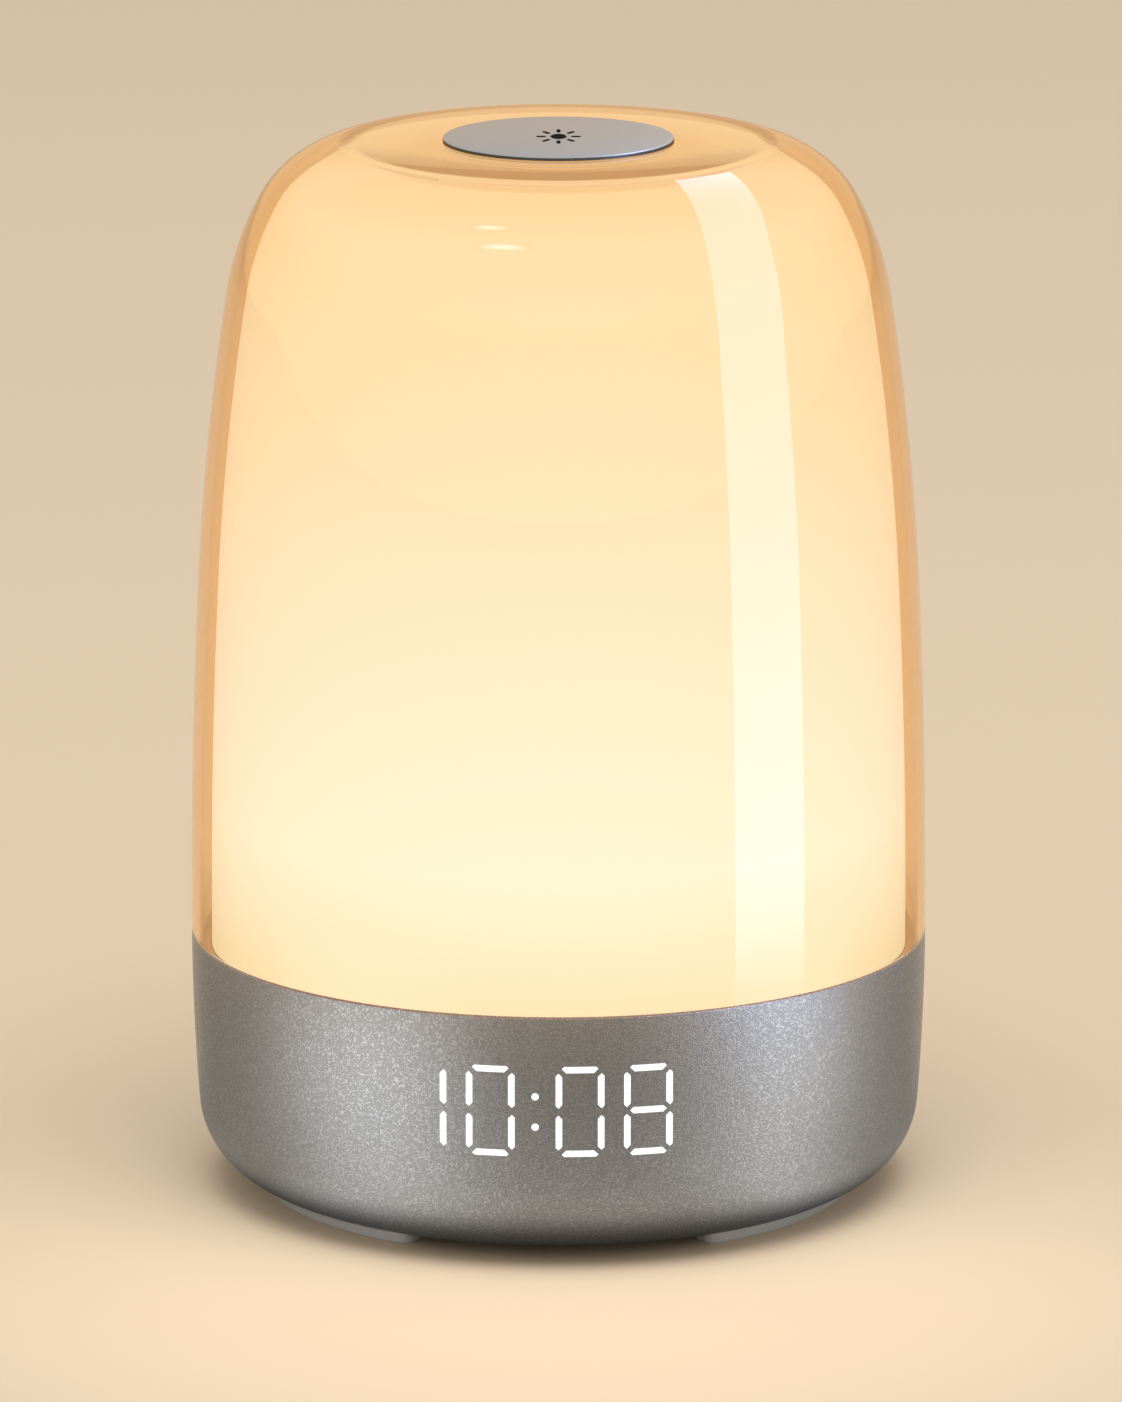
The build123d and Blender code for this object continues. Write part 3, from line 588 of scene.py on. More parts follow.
@dataclass(frozen=True)
class LightCard(Finish):
    """Glowing card that shows in polished and painted faces."""

    coordinates: ClassVar[str] = "UV"

    strength: float = 1.0
    across: Tones = ((0.0, WHITE),)
    upward: Tones = ((0.0, WHITE),)
    cover: Tones = ((0.0, WHITE),)

    def shade(self, tree: Tree, place: Socket) -> Socket:
        """Adds a glow that follows one profile across the card and another up it, and thins out upwards.

        Args:
            tree: Node tree of the material.
            place: Shares of the way across and up the card.

        Returns:
            The shader that ends the nodes.
        """
        share = add_node(tree, "SeparateXYZ", {0: place}).node.outputs
        profiles = (("X", self.across), ("Y", self.upward), ("Y", self.cover))
        ramps = [add_node(tree, "ValToRGB", {0: share[axis]}, tones=tones) for axis, tones in profiles]
        both = {"Factor": 1.0, "A": ramps[0], "B": ramps[1]}
        tone = add_node(tree, "Mix", both, "Result", data_type="RGBA", blend_type="MULTIPLY")
        given = add_node(tree, "Emission", {"Color": tone, "Strength": self.strength})
        return add_node(tree, "MixShader", {0: ramps[2], 1: add_node(tree, "BsdfTransparent"), 2: given})


# After its colour, a moulding's numbers are its roughness, IOR, grain, depth of grain and sheen, and a
# metal's are its roughness, grain, how far the grain is drawn out, and its depth
FINISHES: dict[Slot, Finish] = {
    # Sprayed over the moulded bowl: the eye sees a dull metallic grey with a fine wrinkle
    Slot.BOWL: WrinklePaint("Wrinkle metallic paint on ABS"),
    # Spark-eroded tool: an even dull grain
    Slot.COVER: Moulded("ABS, spark-eroded, dark grey", "#3c3c3e", 0.62, 1.53, 0.45, 0.03),
    # Pressed in a polished tool: smooth and softly dull
    Slot.FEET: Moulded("Silicone rubber, light grey", "#c3c8cf", 0.48, 1.41, 0.6, 0.01, 0.15),
    # Cold headed, then plated: bright with a slight cloud
    Slot.SCREWS: WorkedMetal("Steel, zinc plated", "#b4b4b8", 0.32, 0.2),
    # Moulded in a fine tool: white with a soft gloss
    Slot.WHITE_MOULDINGS: Moulded("ABS, moulded, white", "#e8e6e0", 0.42, 1.53, 0.5, 0.01),
    # Mask printed over etched copper: tracks show as lighter, raised bands
    Slot.BOARDS: BoardMask("Solder mask on glass epoxy, green"),
    # White mask over an aluminium core: tracks are faint
    Slot.LIGHT_BOARD: BoardMask("Solder mask on aluminium, white", "#e4e4e0", "#efefec"),
    # Transfer moulded: dull black
    Slot.BLACK_MOULDINGS: Moulded("Epoxy, moulded, black", "#17171a", 0.5, 1.55, 0.25, 0.01),
    # Drawn into a can: streaks along the draw
    Slot.CANS: WorkedMetal("Aluminium, drawn", "#c4c4c6", 0.28, 0.2, 6.0),
    # Foamed with closed cells: matt and pitted
    Slot.GASKET: Moulded("Polyethylene foam, closed cell", "#1c1c1c", 0.9, 1.5, 0.5, 0.12),
    # Pressed and blackened: dark with a slight shine
    Slot.SPEAKER: WorkedMetal("Steel, pressed and blackened", "#4b4b4e", 0.45, 0.3),
    # Felted from pulp: fibres show as a matt mottle
    Slot.CONE: Moulded("Paper, pressed pulp, black", "#202020", 0.85, 1.5, 0.3, 0.05),
    # Stamped from rolled strip: warm, with rolling lines
    Slot.CONTACTS: WorkedMetal("Bronze, rolled strip", "#c8a868", 0.3, 0.2, 8.0),
    # Moulded white so that each cell keeps its own light
    Slot.DISPLAY_MASK: Moulded("Polycarbonate, moulded, white", "#e6e6e2", 0.5, 1.58, 0.5, 0.01),
    # Cast over the chip with yellow powder in it
    Slot.LIGHTS: Moulded("Silicone, cast, phosphor yellow", "#e9c95a", 0.35, 1.41, 0.2, 0.005),
    # Stamped, seamed and nickel plated: bright and slightly warm
    Slot.INLET: WorkedMetal("Steel, nickel plated", "#bcb8b0", 0.22, 0.2, 5.0),
    # Moulded opal and lit from below: glows evenly, warmer towards the top
    Slot.LIGHT_BODY: GlowingOpal(
        "Acrylic, opal, lit from within",
        glow=(
            (44.0, "#f2efd8"),
            (64.0, "#f7fefb"),
            (93.0, "#f6f5ec"),
            (126.0, "#f5ecd7"),
            (152.0, "#f4e6cb"),
            (163.0, "#f2e1c2"),
            (169.0, "#eed8b0"),
        ),
        strength=1.15,
    ),
    # Moulded in a polished tool with amber dye: clear, deeper in tint where the way through is longer, with
    # a faint painted glow in the wall that lightens its edges
    Slot.SHADE: ClearPlastic(
        "Polycarbonate, amber, polished",
        tint="#f0c100",
        absorption=0.3,
        ior=1.58,
        painted_glow_colour="#ffd070",
        painted_glow_strength=0.05,
    ),
    # Extruded: clear with a soft polish
    Slot.TUBE: ClearPlastic("Acrylic, clear, extruded", ior=1.49, roughness=0.08),
    # Extruded over the strands: soft gloss
    Slot.LEADS: Moulded("PVC, extruded, white", "#d9d6cf", 0.4, 1.53, 0.6, 0.005),
    # Deep drawn and left bare: bright, with faint draw lines
    Slot.CELL: WorkedMetal("Stainless steel, drawn", "#c2c1be", 0.25, 0.25, 4.0),
    # Blasted, then anodised: an even satin grey with a very fine grain, drawn coarser to show
    Slot.BUTTON: WorkedMetal("Aluminium, blasted and anodised", "#c4c5c5", 0.42, 0.28, 1.0, 0.008),
    # Spark-eroded and metallic pigmented: close to the paint in tone
    Slot.KEYS: Moulded("ABS, moulded, metallic grey", "#5f5d5a", 0.45, 1.53, 0.35, 0.015),
    # Moulded and slightly see-through
    Slot.STEMS: Moulded("Nylon, moulded, natural", "#d8d2c2", 0.45, 1.53, 0.4, 0.01),
}
# Turned on a lathe: a darker copy of the disc's metal on its side, painted shade for the dim edge
SHADED_DISC_EDGE = WorkedMetal("Aluminium, turned edge, anodised", "#5c6266", 0.5, 0.2)
# Left bare of paint: the light behind it shows as even white
LIT_DIGITS = LitWindow("Polycarbonate window, lit white")
# Printed in one flat coat: dull black
PRINTED_INK = Moulded("Screen-printed ink, black", "#0c0b0a", 0.85, 1.15, 0.12, 0.004)
# Rolled matt: a sheet with no shine, with a painted pool of light in front of the lamp
PAPER = SweepPaper("Paper, matt, beige")


def round_lamp(front: Tones, back: Tones) -> Tones:
    """Places tones on a card that goes round the lamp.

    Args:
        front: Bearings in degrees from the front to the right, each with its colour.
        back: The same behind the lamp, on its right; its left mirrors it.

    Returns:
        All the tones by their share of the way across the card.
    """
    mirrored = [(-bearing, colour) for bearing, colour in reversed(back)]
    return tuple(((bearing + 180) / 360, colour) for bearing, colour in (*mirrored, *front, *back))


# Long cool strip that shows down the right of the shade
STRIP_LIGHT = LightCard("Strip light", strength=3.7, across=((0.0, "#c8d8ff"),))
# Two short glints near the top of the shade, with soft edges
SOFT_EDGES: Tones = ((0.0, BLACK), (0.4, "#fbf8ff"), (0.6, "#fbf8ff"), (1.0, BLACK))
GLINT_LIGHT = LightCard("Glint light", strength=6.0, across=SOFT_EDGES, upward=SOFT_EDGES)
ROOM_STRENGTH = 1.65
# Bright and dim stretches of a room, which show in the painted side of the bowl
ROOM_WALL = LightCard(
    "Room round the bowl",
    strength=ROOM_STRENGTH,
    across=round_lamp(
        front=(
            (-76.8, "#8a8278"),
            (-50.4, "#f3f5fa"),
            (-37.2, "#f3f5fa"),
            (-15.6, "#74716d"),
            (14.4, "#67625d"),
            (37.2, "#9c9a98"),
            (52.8, "#f0f0f1"),
            (61.2, "#f0f0f1"),
            (81.6, "#8a8278"),
        ),
        back=(
            (119.0, "#7a7268"),
            (122.0, "#b9a48a"),
            (145.0, "#b9a894"),
            (160.0, "#716e6a"),
            (180.0, "#6a6763"),
        ),
    ),
    cover=((0.0, WHITE), (0.6, WHITE), (0.95, BLACK)),
)
# Table top under the same light, with a painted shadow that darkens it close to the bowl
ROOM_TABLE = LightCard(
    "Table round the bowl",
    strength=ROOM_STRENGTH,
    across=round_lamp(
        front=(
            (-64.8, "#8a837a"),
            (-45.6, "#bfbebc"),
            (-33.6, "#cdcbc9"),
            (-7.2, "#a09a92"),
            (24.0, "#9c968e"),
            (48.0, "#cecccb"),
            (55.2, "#b9b7b4"),
            (72.0, "#878179"),
        ),
        back=((115.0, "#7c756b"), (140.0, "#b8b2a9"), (160.0, "#a09a92"), (180.0, "#96928c")),
    ),
    # Painted shadow: dark close to the bowl, full light further out
    upward=((0.0, "#202020"), (0.13, "#505050"), (0.2, "#b8b8b8"), (0.28, WHITE)),
)


def arc_points(middle: Point, radius: float, turns: Point, steps: int) -> list[Point]:
    """Returns points along an arc, both its ends among them.

    Args:
        middle: Centre of the arc.
        radius: Radius of the arc.
        turns: First and last angle.
        steps: Steps from end to end.

    Returns:
        The points, in order.
    """
    first, last = turns
    angles = [first + (last - first) * step / steps for step in range(steps + 1)]
    return [(middle[0] + radius * math.cos(a), middle[1] + radius * math.sin(a)) for a in angles]


def disc_points(middle: Point, radius: float, steps: int) -> list[Point]:
    """Returns the outline of a disc in even steps."""
    return arc_points(middle, radius, (0.0, math.tau), steps)[:-1]


def oblong_points(middle: Point, size: Point, steps: int) -> list[Point]:
    """Returns the outline of an oblong with round ends.

    Args:
        middle: Middle of the oblong.
        size: Length along the first axis, and width.
        steps: Steps round each end.

    Returns:
        The points, in order.
    """
    radius = size[1] / 2
    reach = size[0] / 2 - radius
    right = arc_points((middle[0] + reach, middle[1]), radius, (-QUARTER_TURN, QUARTER_TURN), steps)
    left = arc_points((middle[0] - reach, middle[1]), radius, (QUARTER_TURN, 3 * QUARTER_TURN), steps)
    return right + left


def mesh_object(
    name: str, points: Iterable[Place], faces: Iterable[Sequence[int]]
) -> bpy.types.Object:
    """Makes a clean mesh and puts it in the scene.

    Args:
        name: Name of the piece.
        points: Corners in millimetres.
        faces: Corner numbers of each face.

    Returns:
        The new object, with its place in its mesh.
    """
    mesh = bpy.data.meshes.new(name)
    mesh.from_pydata([(x * MM, y * MM, z * MM) for x, y, z in points], [], list(faces))
    work = bmesh.new()
    work.from_mesh(mesh)
    bmesh.ops.remove_doubles(work, verts=work.verts, dist=MERGE_DISTANCE * MM)
    bmesh.ops.recalc_face_normals(work, faces=work.faces)
    work.to_mesh(mesh)
    work.free()
    piece = bpy.data.objects.new(name, mesh)
    bpy.context.scene.collection.objects.link(piece)
    return piece


def lathe(name: str, outline: Sequence[Point]) -> bpy.types.Object:
    """Turns a closed outline about the upright axis.

    Args:
        name: Name of the piece.
        outline: Radii and heights, in order round the section.

    Returns:
        The turned object.
    """
    points = []
    for step in range(ROUND_SEGMENTS):
        angle = math.tau * step / ROUND_SEGMENTS
        points += [(r * math.cos(angle), r * math.sin(angle), z) for r, z in outline]
    count = len(outline)
    faces = []
    for step in range(ROUND_SEGMENTS):
        here = step * count
        there = (step + 1) % ROUND_SEGMENTS * count
        for index in range(count):
            after = (index + 1) % count
            faces.append((here + index, there + index, there + after, here + after))
    return mesh_object(name, points, faces)


def slabs(
    name: str, sides: Iterable[Sequence[Sequence[Place]]], strips: bool = False
) -> bpy.types.Object:
    """Closes the space between fronts and backs.

    Args:
        name: Name of the piece.
        sides: Corners of the front and of the back of each slab, in the same order.
        strips: Whether fronts and backs are made of strips, which follow a curved face.

    Returns:
        One object that holds all the slabs.
    """
    points: list[Place] = []
    faces: list[tuple[int, ...]] = []
    for front, back in sides:
        count = len(front)
        ring = list(range(len(points), len(points) + count))
        points += [*front, *back]
        for here, after in zip(ring, ring[1:] + ring[:1]):
            faces.append((here, after, after + count, here + count))
        caps = [ring]
        if strips:
            pairs = list(zip(ring, ring[::-1]))[: count // 2]
            caps = [[*near, *far[::-1]] for near, far in zip(pairs, pairs[1:])]
        for cap in caps:
            faces.append(tuple(cap))
            faces.append(tuple(corner + count for corner in cap))
    return mesh_object(name, points, faces)


def cut_away(target: bpy.types.Object, cutters: Sequence[bpy.types.Object]) -> None:
    """Cuts shapes out of a piece for good.

    Args:
        target: Piece that is cut.
        cutters: Shapes to take away, which stay as they are.
    """
    for cutter in cutters:
        cut = target.modifiers.new("cut", "BOOLEAN")
        cut.operation = "DIFFERENCE"
        cut.solver = "EXACT"
        cut.object = cutter
    shaped = target.evaluated_get(bpy.context.evaluated_depsgraph_get())
    mesh = bpy.data.meshes.new_from_object(shaped)
    target.modifiers.clear()
    target.data = mesh


def fit_out(piece: bpy.types.Object, finish: Finish, body: Body, slot: Slot, *nodes: str) -> None:
    """Smooths and dresses a modelled piece and sets it on its body.

    Args:
        piece: Modelled piece.
        finish: Finish that covers it.
        body: Body that it rides on.
        slot: Material slot of the record that it stands in; not used.
        nodes: Nodes of the frame that it replaces.
    """
    piece.data.shade_smooth()
    piece.data.set_sharp_from_angle(angle=SHARP_ANGLE)
    piece.data.materials.clear()
    piece.data.materials.append(finish.material())
    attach(piece, body.value)
    if nodes:
        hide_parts(*nodes)
    LOG.info("%s: %d faces in %s", piece.name, len(piece.data.polygons), finish.name)


@dataclass(frozen=True)
class ArcChain:
    """Tangent arcs from the seam towards the axis; rise is 1 upwards and -1 downwards."""

    seam_radius: float
    seam_height: float
    arcs: tuple[float, ...]
    turns: tuple[float, ...]
    rise: int

    def spans(self) -> Iterator[tuple[Point, float, Point]]:
        """Follows the chain arc by arc.

        Yields:
            Centre and radius of each arc, and the turns of the face at its ends.
        """
        before = self.arcs[0]
        reach = self.seam_radius - before
        level = self.seam_height
        begin = 0.0
        for arc, end in zip(self.arcs, self.turns):
            reach += (before - arc) * math.cos(begin)
            level += self.rise * (before - arc) * math.sin(begin)
            yield (reach, level), arc, (begin, end)
            before = arc
            begin = end

    def on_arc(self, centre: Point, radius: float, turn: float) -> Point:
        """Returns the radius and height of an arc where its face has turned by an angle."""
        return (centre[0] + radius * math.cos(turn), centre[1] + self.rise * radius * math.sin(turn))

    def at(self, turn: float) -> Point:
        """Returns the radius and height of the chain where its face has turned by an angle."""
        centre, arc = next((centre, arc) for centre, arc, (_, end) in self.spans() if turn <= end)
        return self.on_arc(centre, arc, turn)

    def points(self, inset: float, start_drop: float = 0.0) -> list[Point]:
        """Samples the chain, moved inwards.

        Args:
            inset: Distance moved inwards.
            start_drop: Distance past the seam at which the chain starts.

        Returns:
            Radii and heights from the seam end to the axis end.
        """
        found: list[Point] = []
        for centre, arc, (begin, end) in self.spans():
            radius = arc - inset
            first = begin if found else math.asin(start_drop / radius)
            sweep = end - first
            steps = math.ceil(max(sweep / ARC_STEP, sweep * radius / ARC_LENGTH))
            for count in range(1 if found else 0, steps + 1):
                found.append(self.on_arc(centre, radius, first + sweep * count / steps))
        return found


@dataclass(frozen=True)
class LampForm:
    """Outer form and fits that the sub-assemblies share."""

    base_radius: float = 60.0
    seam_height: float = 42.85
    lamp_height: float = 172.55
    foot_height: float = 1.55
    bowl_arcs: tuple[float, float] = (384.0, 13.5)
    shade_arcs: tuple[float, ...] = (1142.0, 447.0, 48.0, 18.2)
    shade_upper_turn: float = math.radians(8.94)
    shade_shoulder_turn: float = math.radians(28.4)
    lap_depth: float = 6.5
    spigot_inner: float = 57.0
    deck_top: float = 41.35
    deck_under: float = 39.35

    @property
    def bowl(self) -> ArcChain:
        """Arcs of the bowl, down to its flat underside."""
        side, corner = self.bowl_arcs
        drop = self.seam_height - self.foot_height - corner
        turns = (math.asin(drop / (side - corner)), QUARTER_TURN)
        return ArcChain(self.base_radius, self.seam_height, self.bowl_arcs, turns, -1)

    @property
    def shade(self) -> ArcChain:
        """Arcs of the shade, up to its flat top."""
        side, upper, shoulder, crown = self.shade_arcs
        upper_sine = math.sin(self.shade_upper_turn)
        shoulder_sine = math.sin(self.shade_shoulder_turn)
        rise = upper * upper_sine + shoulder * (shoulder_sine - upper_sine) + crown * (1 - shoulder_sine)
        side_turn = math.asin((self.lamp_height - self.seam_height - rise) / (side - upper))
        turns = (side_turn, self.shade_upper_turn, self.shade_shoulder_turn, QUARTER_TURN)
        return ArcChain(self.base_radius, self.seam_height, self.shade_arcs, turns, 1)

    @property
    def lap_floor(self) -> float:
        """Height of the ledge that the shade stands on."""
        return self.seam_height - self.lap_depth

    def bowl_face(self, x: float, z: float, proud: float) -> Place:
        """Finds a point of the bowl's front face.

        Args:
            x: Place across the lamp.
            z: Height.
            proud: Distance in front of the face.

        Returns:
            The point at x and z.
        """
        side = self.bowl_arcs[0]
        radius = self.base_radius - side + math.sqrt(side**2 - (self.seam_height - z) ** 2) + proud
        return (x, -math.sqrt(radius**2 - x**2), z)


@dataclass(frozen=True)
class Bowl:
    """Painted bowl: lap, cover opening, and the apertures at the back."""

    form: LampForm
    wall: float = 2.4
    seam_gap: float = 0.2
    rim_edge: float = 0.2
    lap_radius: float = 59.2
    cover_rebate: float = 40.655
    cover_rebate_depth: float = 1.2
    cover_opening: float = 37.955
    key_places: tuple[float, ...] = (-22.0, -11.0, 0.0, 11.0, 22.0)
    key_level: float = 28.05
    key_hole: Point = (8.5, 5.5)
    inlet_level: float = 17.32
    inlet_hole: Point = (9.34, 3.66)
    cut_shares: Point = (0.5, 1.5)
    end_steps: int = 16

    def section(self) -> list[Point]:
        """Draws the section of the bowl's wall.

        Returns:
            Radii and heights, in order round the section.
        """
        form = self.form
        outer = form.bowl.points(0.0, self.seam_gap + self.rim_edge)
        inner = form.bowl.points(self.wall, form.lap_depth)
        rim = form.seam_height - self.seam_gap
        rebate = form.foot_height + self.cover_rebate_depth
        under = [
            (self.cover_rebate, form.foot_height),
            (self.cover_rebate, rebate),
            (self.cover_opening, rebate),
            (self.cover_opening, form.foot_height + self.wall),
        ]
        lap = [
            (self.lap_radius, form.lap_floor),
            (self.lap_radius, rim),
            (form.base_radius - self.rim_edge, rim),
        ]
        return outer + under + inner[::-1] + lap

    def build(self) -> None:
        """Builds the bowl, cuts its apertures and foot seats, and dresses it."""
        bowl = lathe("bowl", self.section())
        holes = [((x, self.key_level), self.key_hole) for x in self.key_places]
        holes.append(((0.0, self.inlet_level), self.inlet_hole))
        outlines = [oblong_points(middle, size, self.end_steps) for middle, size in holes]
        depths = [share * self.form.base_radius for share in self.cut_shares]
        sides = [[[(x, y, z) for x, z in outline] for y in depths] for outline in outlines]
        apertures = slabs("apertures", sides)
        feet = [frame["nodes"][name] for name in ("foot_front_left", "foot_front_right", "foot_rear")]
        cut_away(bowl, [apertures, *feet])
        bpy.data.objects.remove(apertures)
        fit_out(bowl, FINISHES[Slot.BOWL], Body.BASE, Slot.BOWL, "base_housing")


@dataclass(frozen=True)
class Shade:
    """Clear amber shade and the glowing body inside it, which props the shade's recess by a collar."""

    form: LampForm
    wall: float = 1.6
    light_inset: float = 3.3
    light_wall: float = 1.6
    light_hole: float = 17.3
    lap_neck: float = 1.5
    spigot_radius: float = 59.1
    bead_reach: float = 0.6
    bead_width: float = 1.2
    recess_radius: float = 18.75
    recess_floor: float = 171.75
    button_bore: float = 15.5
    crease_turn: float = math.radians(80.4)
    dome: float = 0.34
    dome_steps: int = 10

    def crown(self, edge: Point) -> list[Point]:
        """Draws the slightly domed top.

        Args:
            edge: Radius and height of the crease at its edge.

        Returns:
            Radii and heights from the crease to the recess.
        """
        span = edge[0] - self.recess_radius
        shares = [step / self.dome_steps for step in range(1, self.dome_steps + 1)]
        return [(edge[0] - span * share, edge[1] + self.dome * share * (2 - share)) for share in shares]

    def shade_section(self) -> list[Point]:
        """Draws the section of the clear shade.

        Returns:
            Radii and heights, in order round the section.
        """
        form = self.form
        crease = form.shade.at(self.crease_turn)
        outer = [point for point in form.shade.points(0.0) if point[0] > crease[0]] + [crease]
        inner = form.shade.points(self.wall)
        neck = form.seam_height - self.lap_neck
        top = [
            *self.crown(crease),
            (self.recess_radius, self.recess_floor),
            (self.button_bore, self.recess_floor),
            (self.button_bore, form.lamp_height - self.wall),
        ]
        bead = form.spigot_inner - self.bead_reach
        bead_under = form.deck_under - self.bead_width
        spigot = [
            (inner[0][0], neck),
            (form.spigot_inner, neck),
            (form.spigot_inner, form.deck_under),
            (bead, form.deck_under),
            (bead, bead_under),
            (form.spigot_inner, bead_under),
            (form.spigot_inner, form.lap_floor),
            (self.spigot_radius, form.lap_floor),
            (self.spigot_radius, form.seam_height),
        ]
        return outer + top + inner[::-1] + spigot

    def light_section(self) -> list[Point]:
        """Draws the section of the glowing body.

        Returns:
            Radii and heights, in order round the section.
        """
        form = self.form
        outer = form.shade.points(self.light_inset)
        inner = form.shade.points(self.light_inset + self.light_wall)
        collar = self.light_hole + self.light_wall
        under_top = form.lamp_height - self.wall
        hole = [
            (collar, outer[-1][1]),
            (collar, under_top),
            (self.light_hole, under_top),
            (self.light_hole, inner[-1][1]),
        ]
        foot = [(inner[0][0], form.deck_top), (outer[0][0], form.deck_top)]
        return outer + hole + inner[::-1] + foot

    def build(self) -> None:
        """Builds both shells and dresses them; the clear one casts no shadow of its own."""
        shade = lathe("amber_shade", self.shade_section())
        fit_out(shade, FINISHES[Slot.SHADE], Body.BASE, Slot.SHADE, "outer_shade")
        shade.visible_shadow = False
        light = lathe("light_body", self.light_section())
        fit_out(light, FINISHES[Slot.LIGHT_BODY], Body.BASE, Slot.LIGHT_BODY, "inner_diffuser")


@dataclass(frozen=True)
class ClockDisplay:
    """Lit digits that shine through the thinned front wall of the bowl."""

    form: LampForm
    time: str = "10:08"
    offset: float = -3.7
    level: float = 27.175
    digit_pitch: float = 10.85
    colon_pitch: float = 14.24
    digit_size: Point = (6.7, 13.9)
    bar_length: float = 5.8
    bar_width: float = 1.05
    level_lean: float = 0.17
    upright_lean: float = 0.08
    dot_radius: float = 0.6
    dot_spacing: float = 5.05
    proud: float = 0.03
    sunk: float = 0.12
    bar_steps: int = 12
    dot_steps: int = 24

    def bar(self, x: float, z: float, segment: Segment) -> list[Point]:
        """Draws one bar.

        Args:
            x: Middle of the bar across the lamp.
            z: Height of the bar's middle.
            segment: Place of the bar in its digit.

        Returns:
            Corners in fine steps along the bar, with pointed ends that lean to the digit's outside.
        """
        across, up, upright = segment.value
        lean = self.upright_lean * across if upright else self.level_lean * up
        tip = self.bar_length / 2
        half = self.bar_width / 2
        outline = []
        for side in (1, -1):
            shoulder = side * (tip - half) + lean
            steps = [shoulder * (2 * count / self.bar_steps - 1) for count in range(self.bar_steps + 1)]
            outline += [(along, side * half) for along in steps]
            outline.append((side * tip, lean))
        return [(x + v, z + u) if upright else (x + u, z + v) for u, v in outline]

    def window(self, name: str, outlines: Iterable[Sequence[Point]]) -> None:
        """Makes lit windows that follow the bowl's face.

        Args:
            name: Name of the piece.
            outlines: Outlines in x and z.
        """
        face = self.form.bowl_face
        depths = (self.proud, -self.sunk)
        sides = [[[face(x, z, depth) for x, z in outline] for depth in depths] for outline in outlines]
        fit_out(slabs(name, sides, strips=True), LIT_DIGITS, Body.BASE, Slot.LIGHTS)

    def build(self) -> None:
        """Builds the four digits and the colon."""
        inner = self.colon_pitch / 2
        outer = inner + self.digit_pitch
        width, height = self.digit_size
        digits = self.time.replace(":", "")
        for number, (digit, middle) in enumerate(zip(digits, (-outer, -inner, inner, outer)), start=1):
            bars = []
            for segment in Segment:
                if segment in LIT_BARS[digit]:
                    x = self.offset + middle + segment.value[0] * width / 2
                    z = self.level + segment.value[1] * height / 2
                    bars.append(self.bar(x, z, segment))
            self.window(f"clock_digit_{number}", bars)
        levels = (self.level - self.dot_spacing / 2, self.level + self.dot_spacing / 2)
        dots = [disc_points((self.offset, z), self.dot_radius, self.dot_steps) for z in levels]
        self.window("clock_colon", dots)


@dataclass(frozen=True)
class PressButton:
    """Round metal disc with its printed mark for the light."""

    radius: float = 18.6
    under: float = 172.35
    top: float = 173.25
    edge: float = 0.3
    edge_steps: int = 4
    mark_dot: float = 1.3
    mark_ray: Point = (2.0, 3.6)
    ray_width: float = 0.66
    ray_count: int = 8
    ray_steps: int = 8
    mark_stretch: float = 1.8
    side_slope: float = 0.3
    ink: float = 0.02
    dot_steps: int = 32

    def section(self) -> list[Point]:
        """Draws the section of the disc, with a softened upper edge.

        Returns:
            Radii and heights, in order round the section.
        """
        middle = (self.radius - self.edge, self.top - self.edge)
        corner = arc_points(middle, self.edge, (0.0, QUARTER_TURN), self.edge_steps)
        return [(0.0, self.under), (self.radius, self.under), *corner, (0.0, self.top)]

    def mark(self) -> list[list[Point]]:
        """Draws a plain sun, a dot and rays, long enough in depth to read from the front.

        Returns:
            Outlines of the dot and of each ray.
        """
        outlines = [disc_points((0.0, 0.0), self.mark_dot, self.dot_steps)]
        near, far = self.mark_ray
        ray = oblong_points(((near + far) / 2, 0.0), (far - near, self.ray_width), self.ray_steps)
        for index in range(self.ray_count):
            angle = math.tau * index / self.ray_count
            cos, sin = math.cos(angle), math.sin(angle)
            outlines.append([(u * cos - v * sin, u * sin + v * cos) for u, v in ray])
        return [[(x, y * self.mark_stretch) for x, y in outline] for outline in outlines]

    def build(self) -> None:
        """Builds the disc and its mark, which ride on the press button."""
        disc = lathe("press_disc", self.section())
        fit_out(disc, FINISHES[Slot.BUTTON], Body.TOP_BUTTON, Slot.BUTTON, "button_disc")
        # Side faces take the darker copy of the metal: painted shade on the disc's edge
        disc.data.materials.append(SHADED_DISC_EDGE.material())
        for face in disc.data.polygons:
            face.material_index = int(abs(face.normal.z) < self.side_slope)
        levels = (self.top, self.top + self.ink)
        sides = [[[(x, y, z) for x, y in outline] for z in levels] for outline in self.mark()]
        fit_out(slabs("light_mark", sides), PRINTED_INK, Body.TOP_BUTTON, Slot.BUTTON)


@dataclass(frozen=True)
class CarriedPieces:
    """Pieces that keep their shape from the frame and get their finish here."""

    def build(self) -> None:
        """Dresses every node of the frame by its slot in the record."""
        for part in frame["record"]["subparts"]:
            node = frame["nodes"][part["node"]]
            finish = FINISHES[Slot(part["material_slot"])]
            node.data.materials.clear()
            node.data.materials.append(finish.material())
            LOG.info("%s: dressed in %s", part["node"], finish.name)


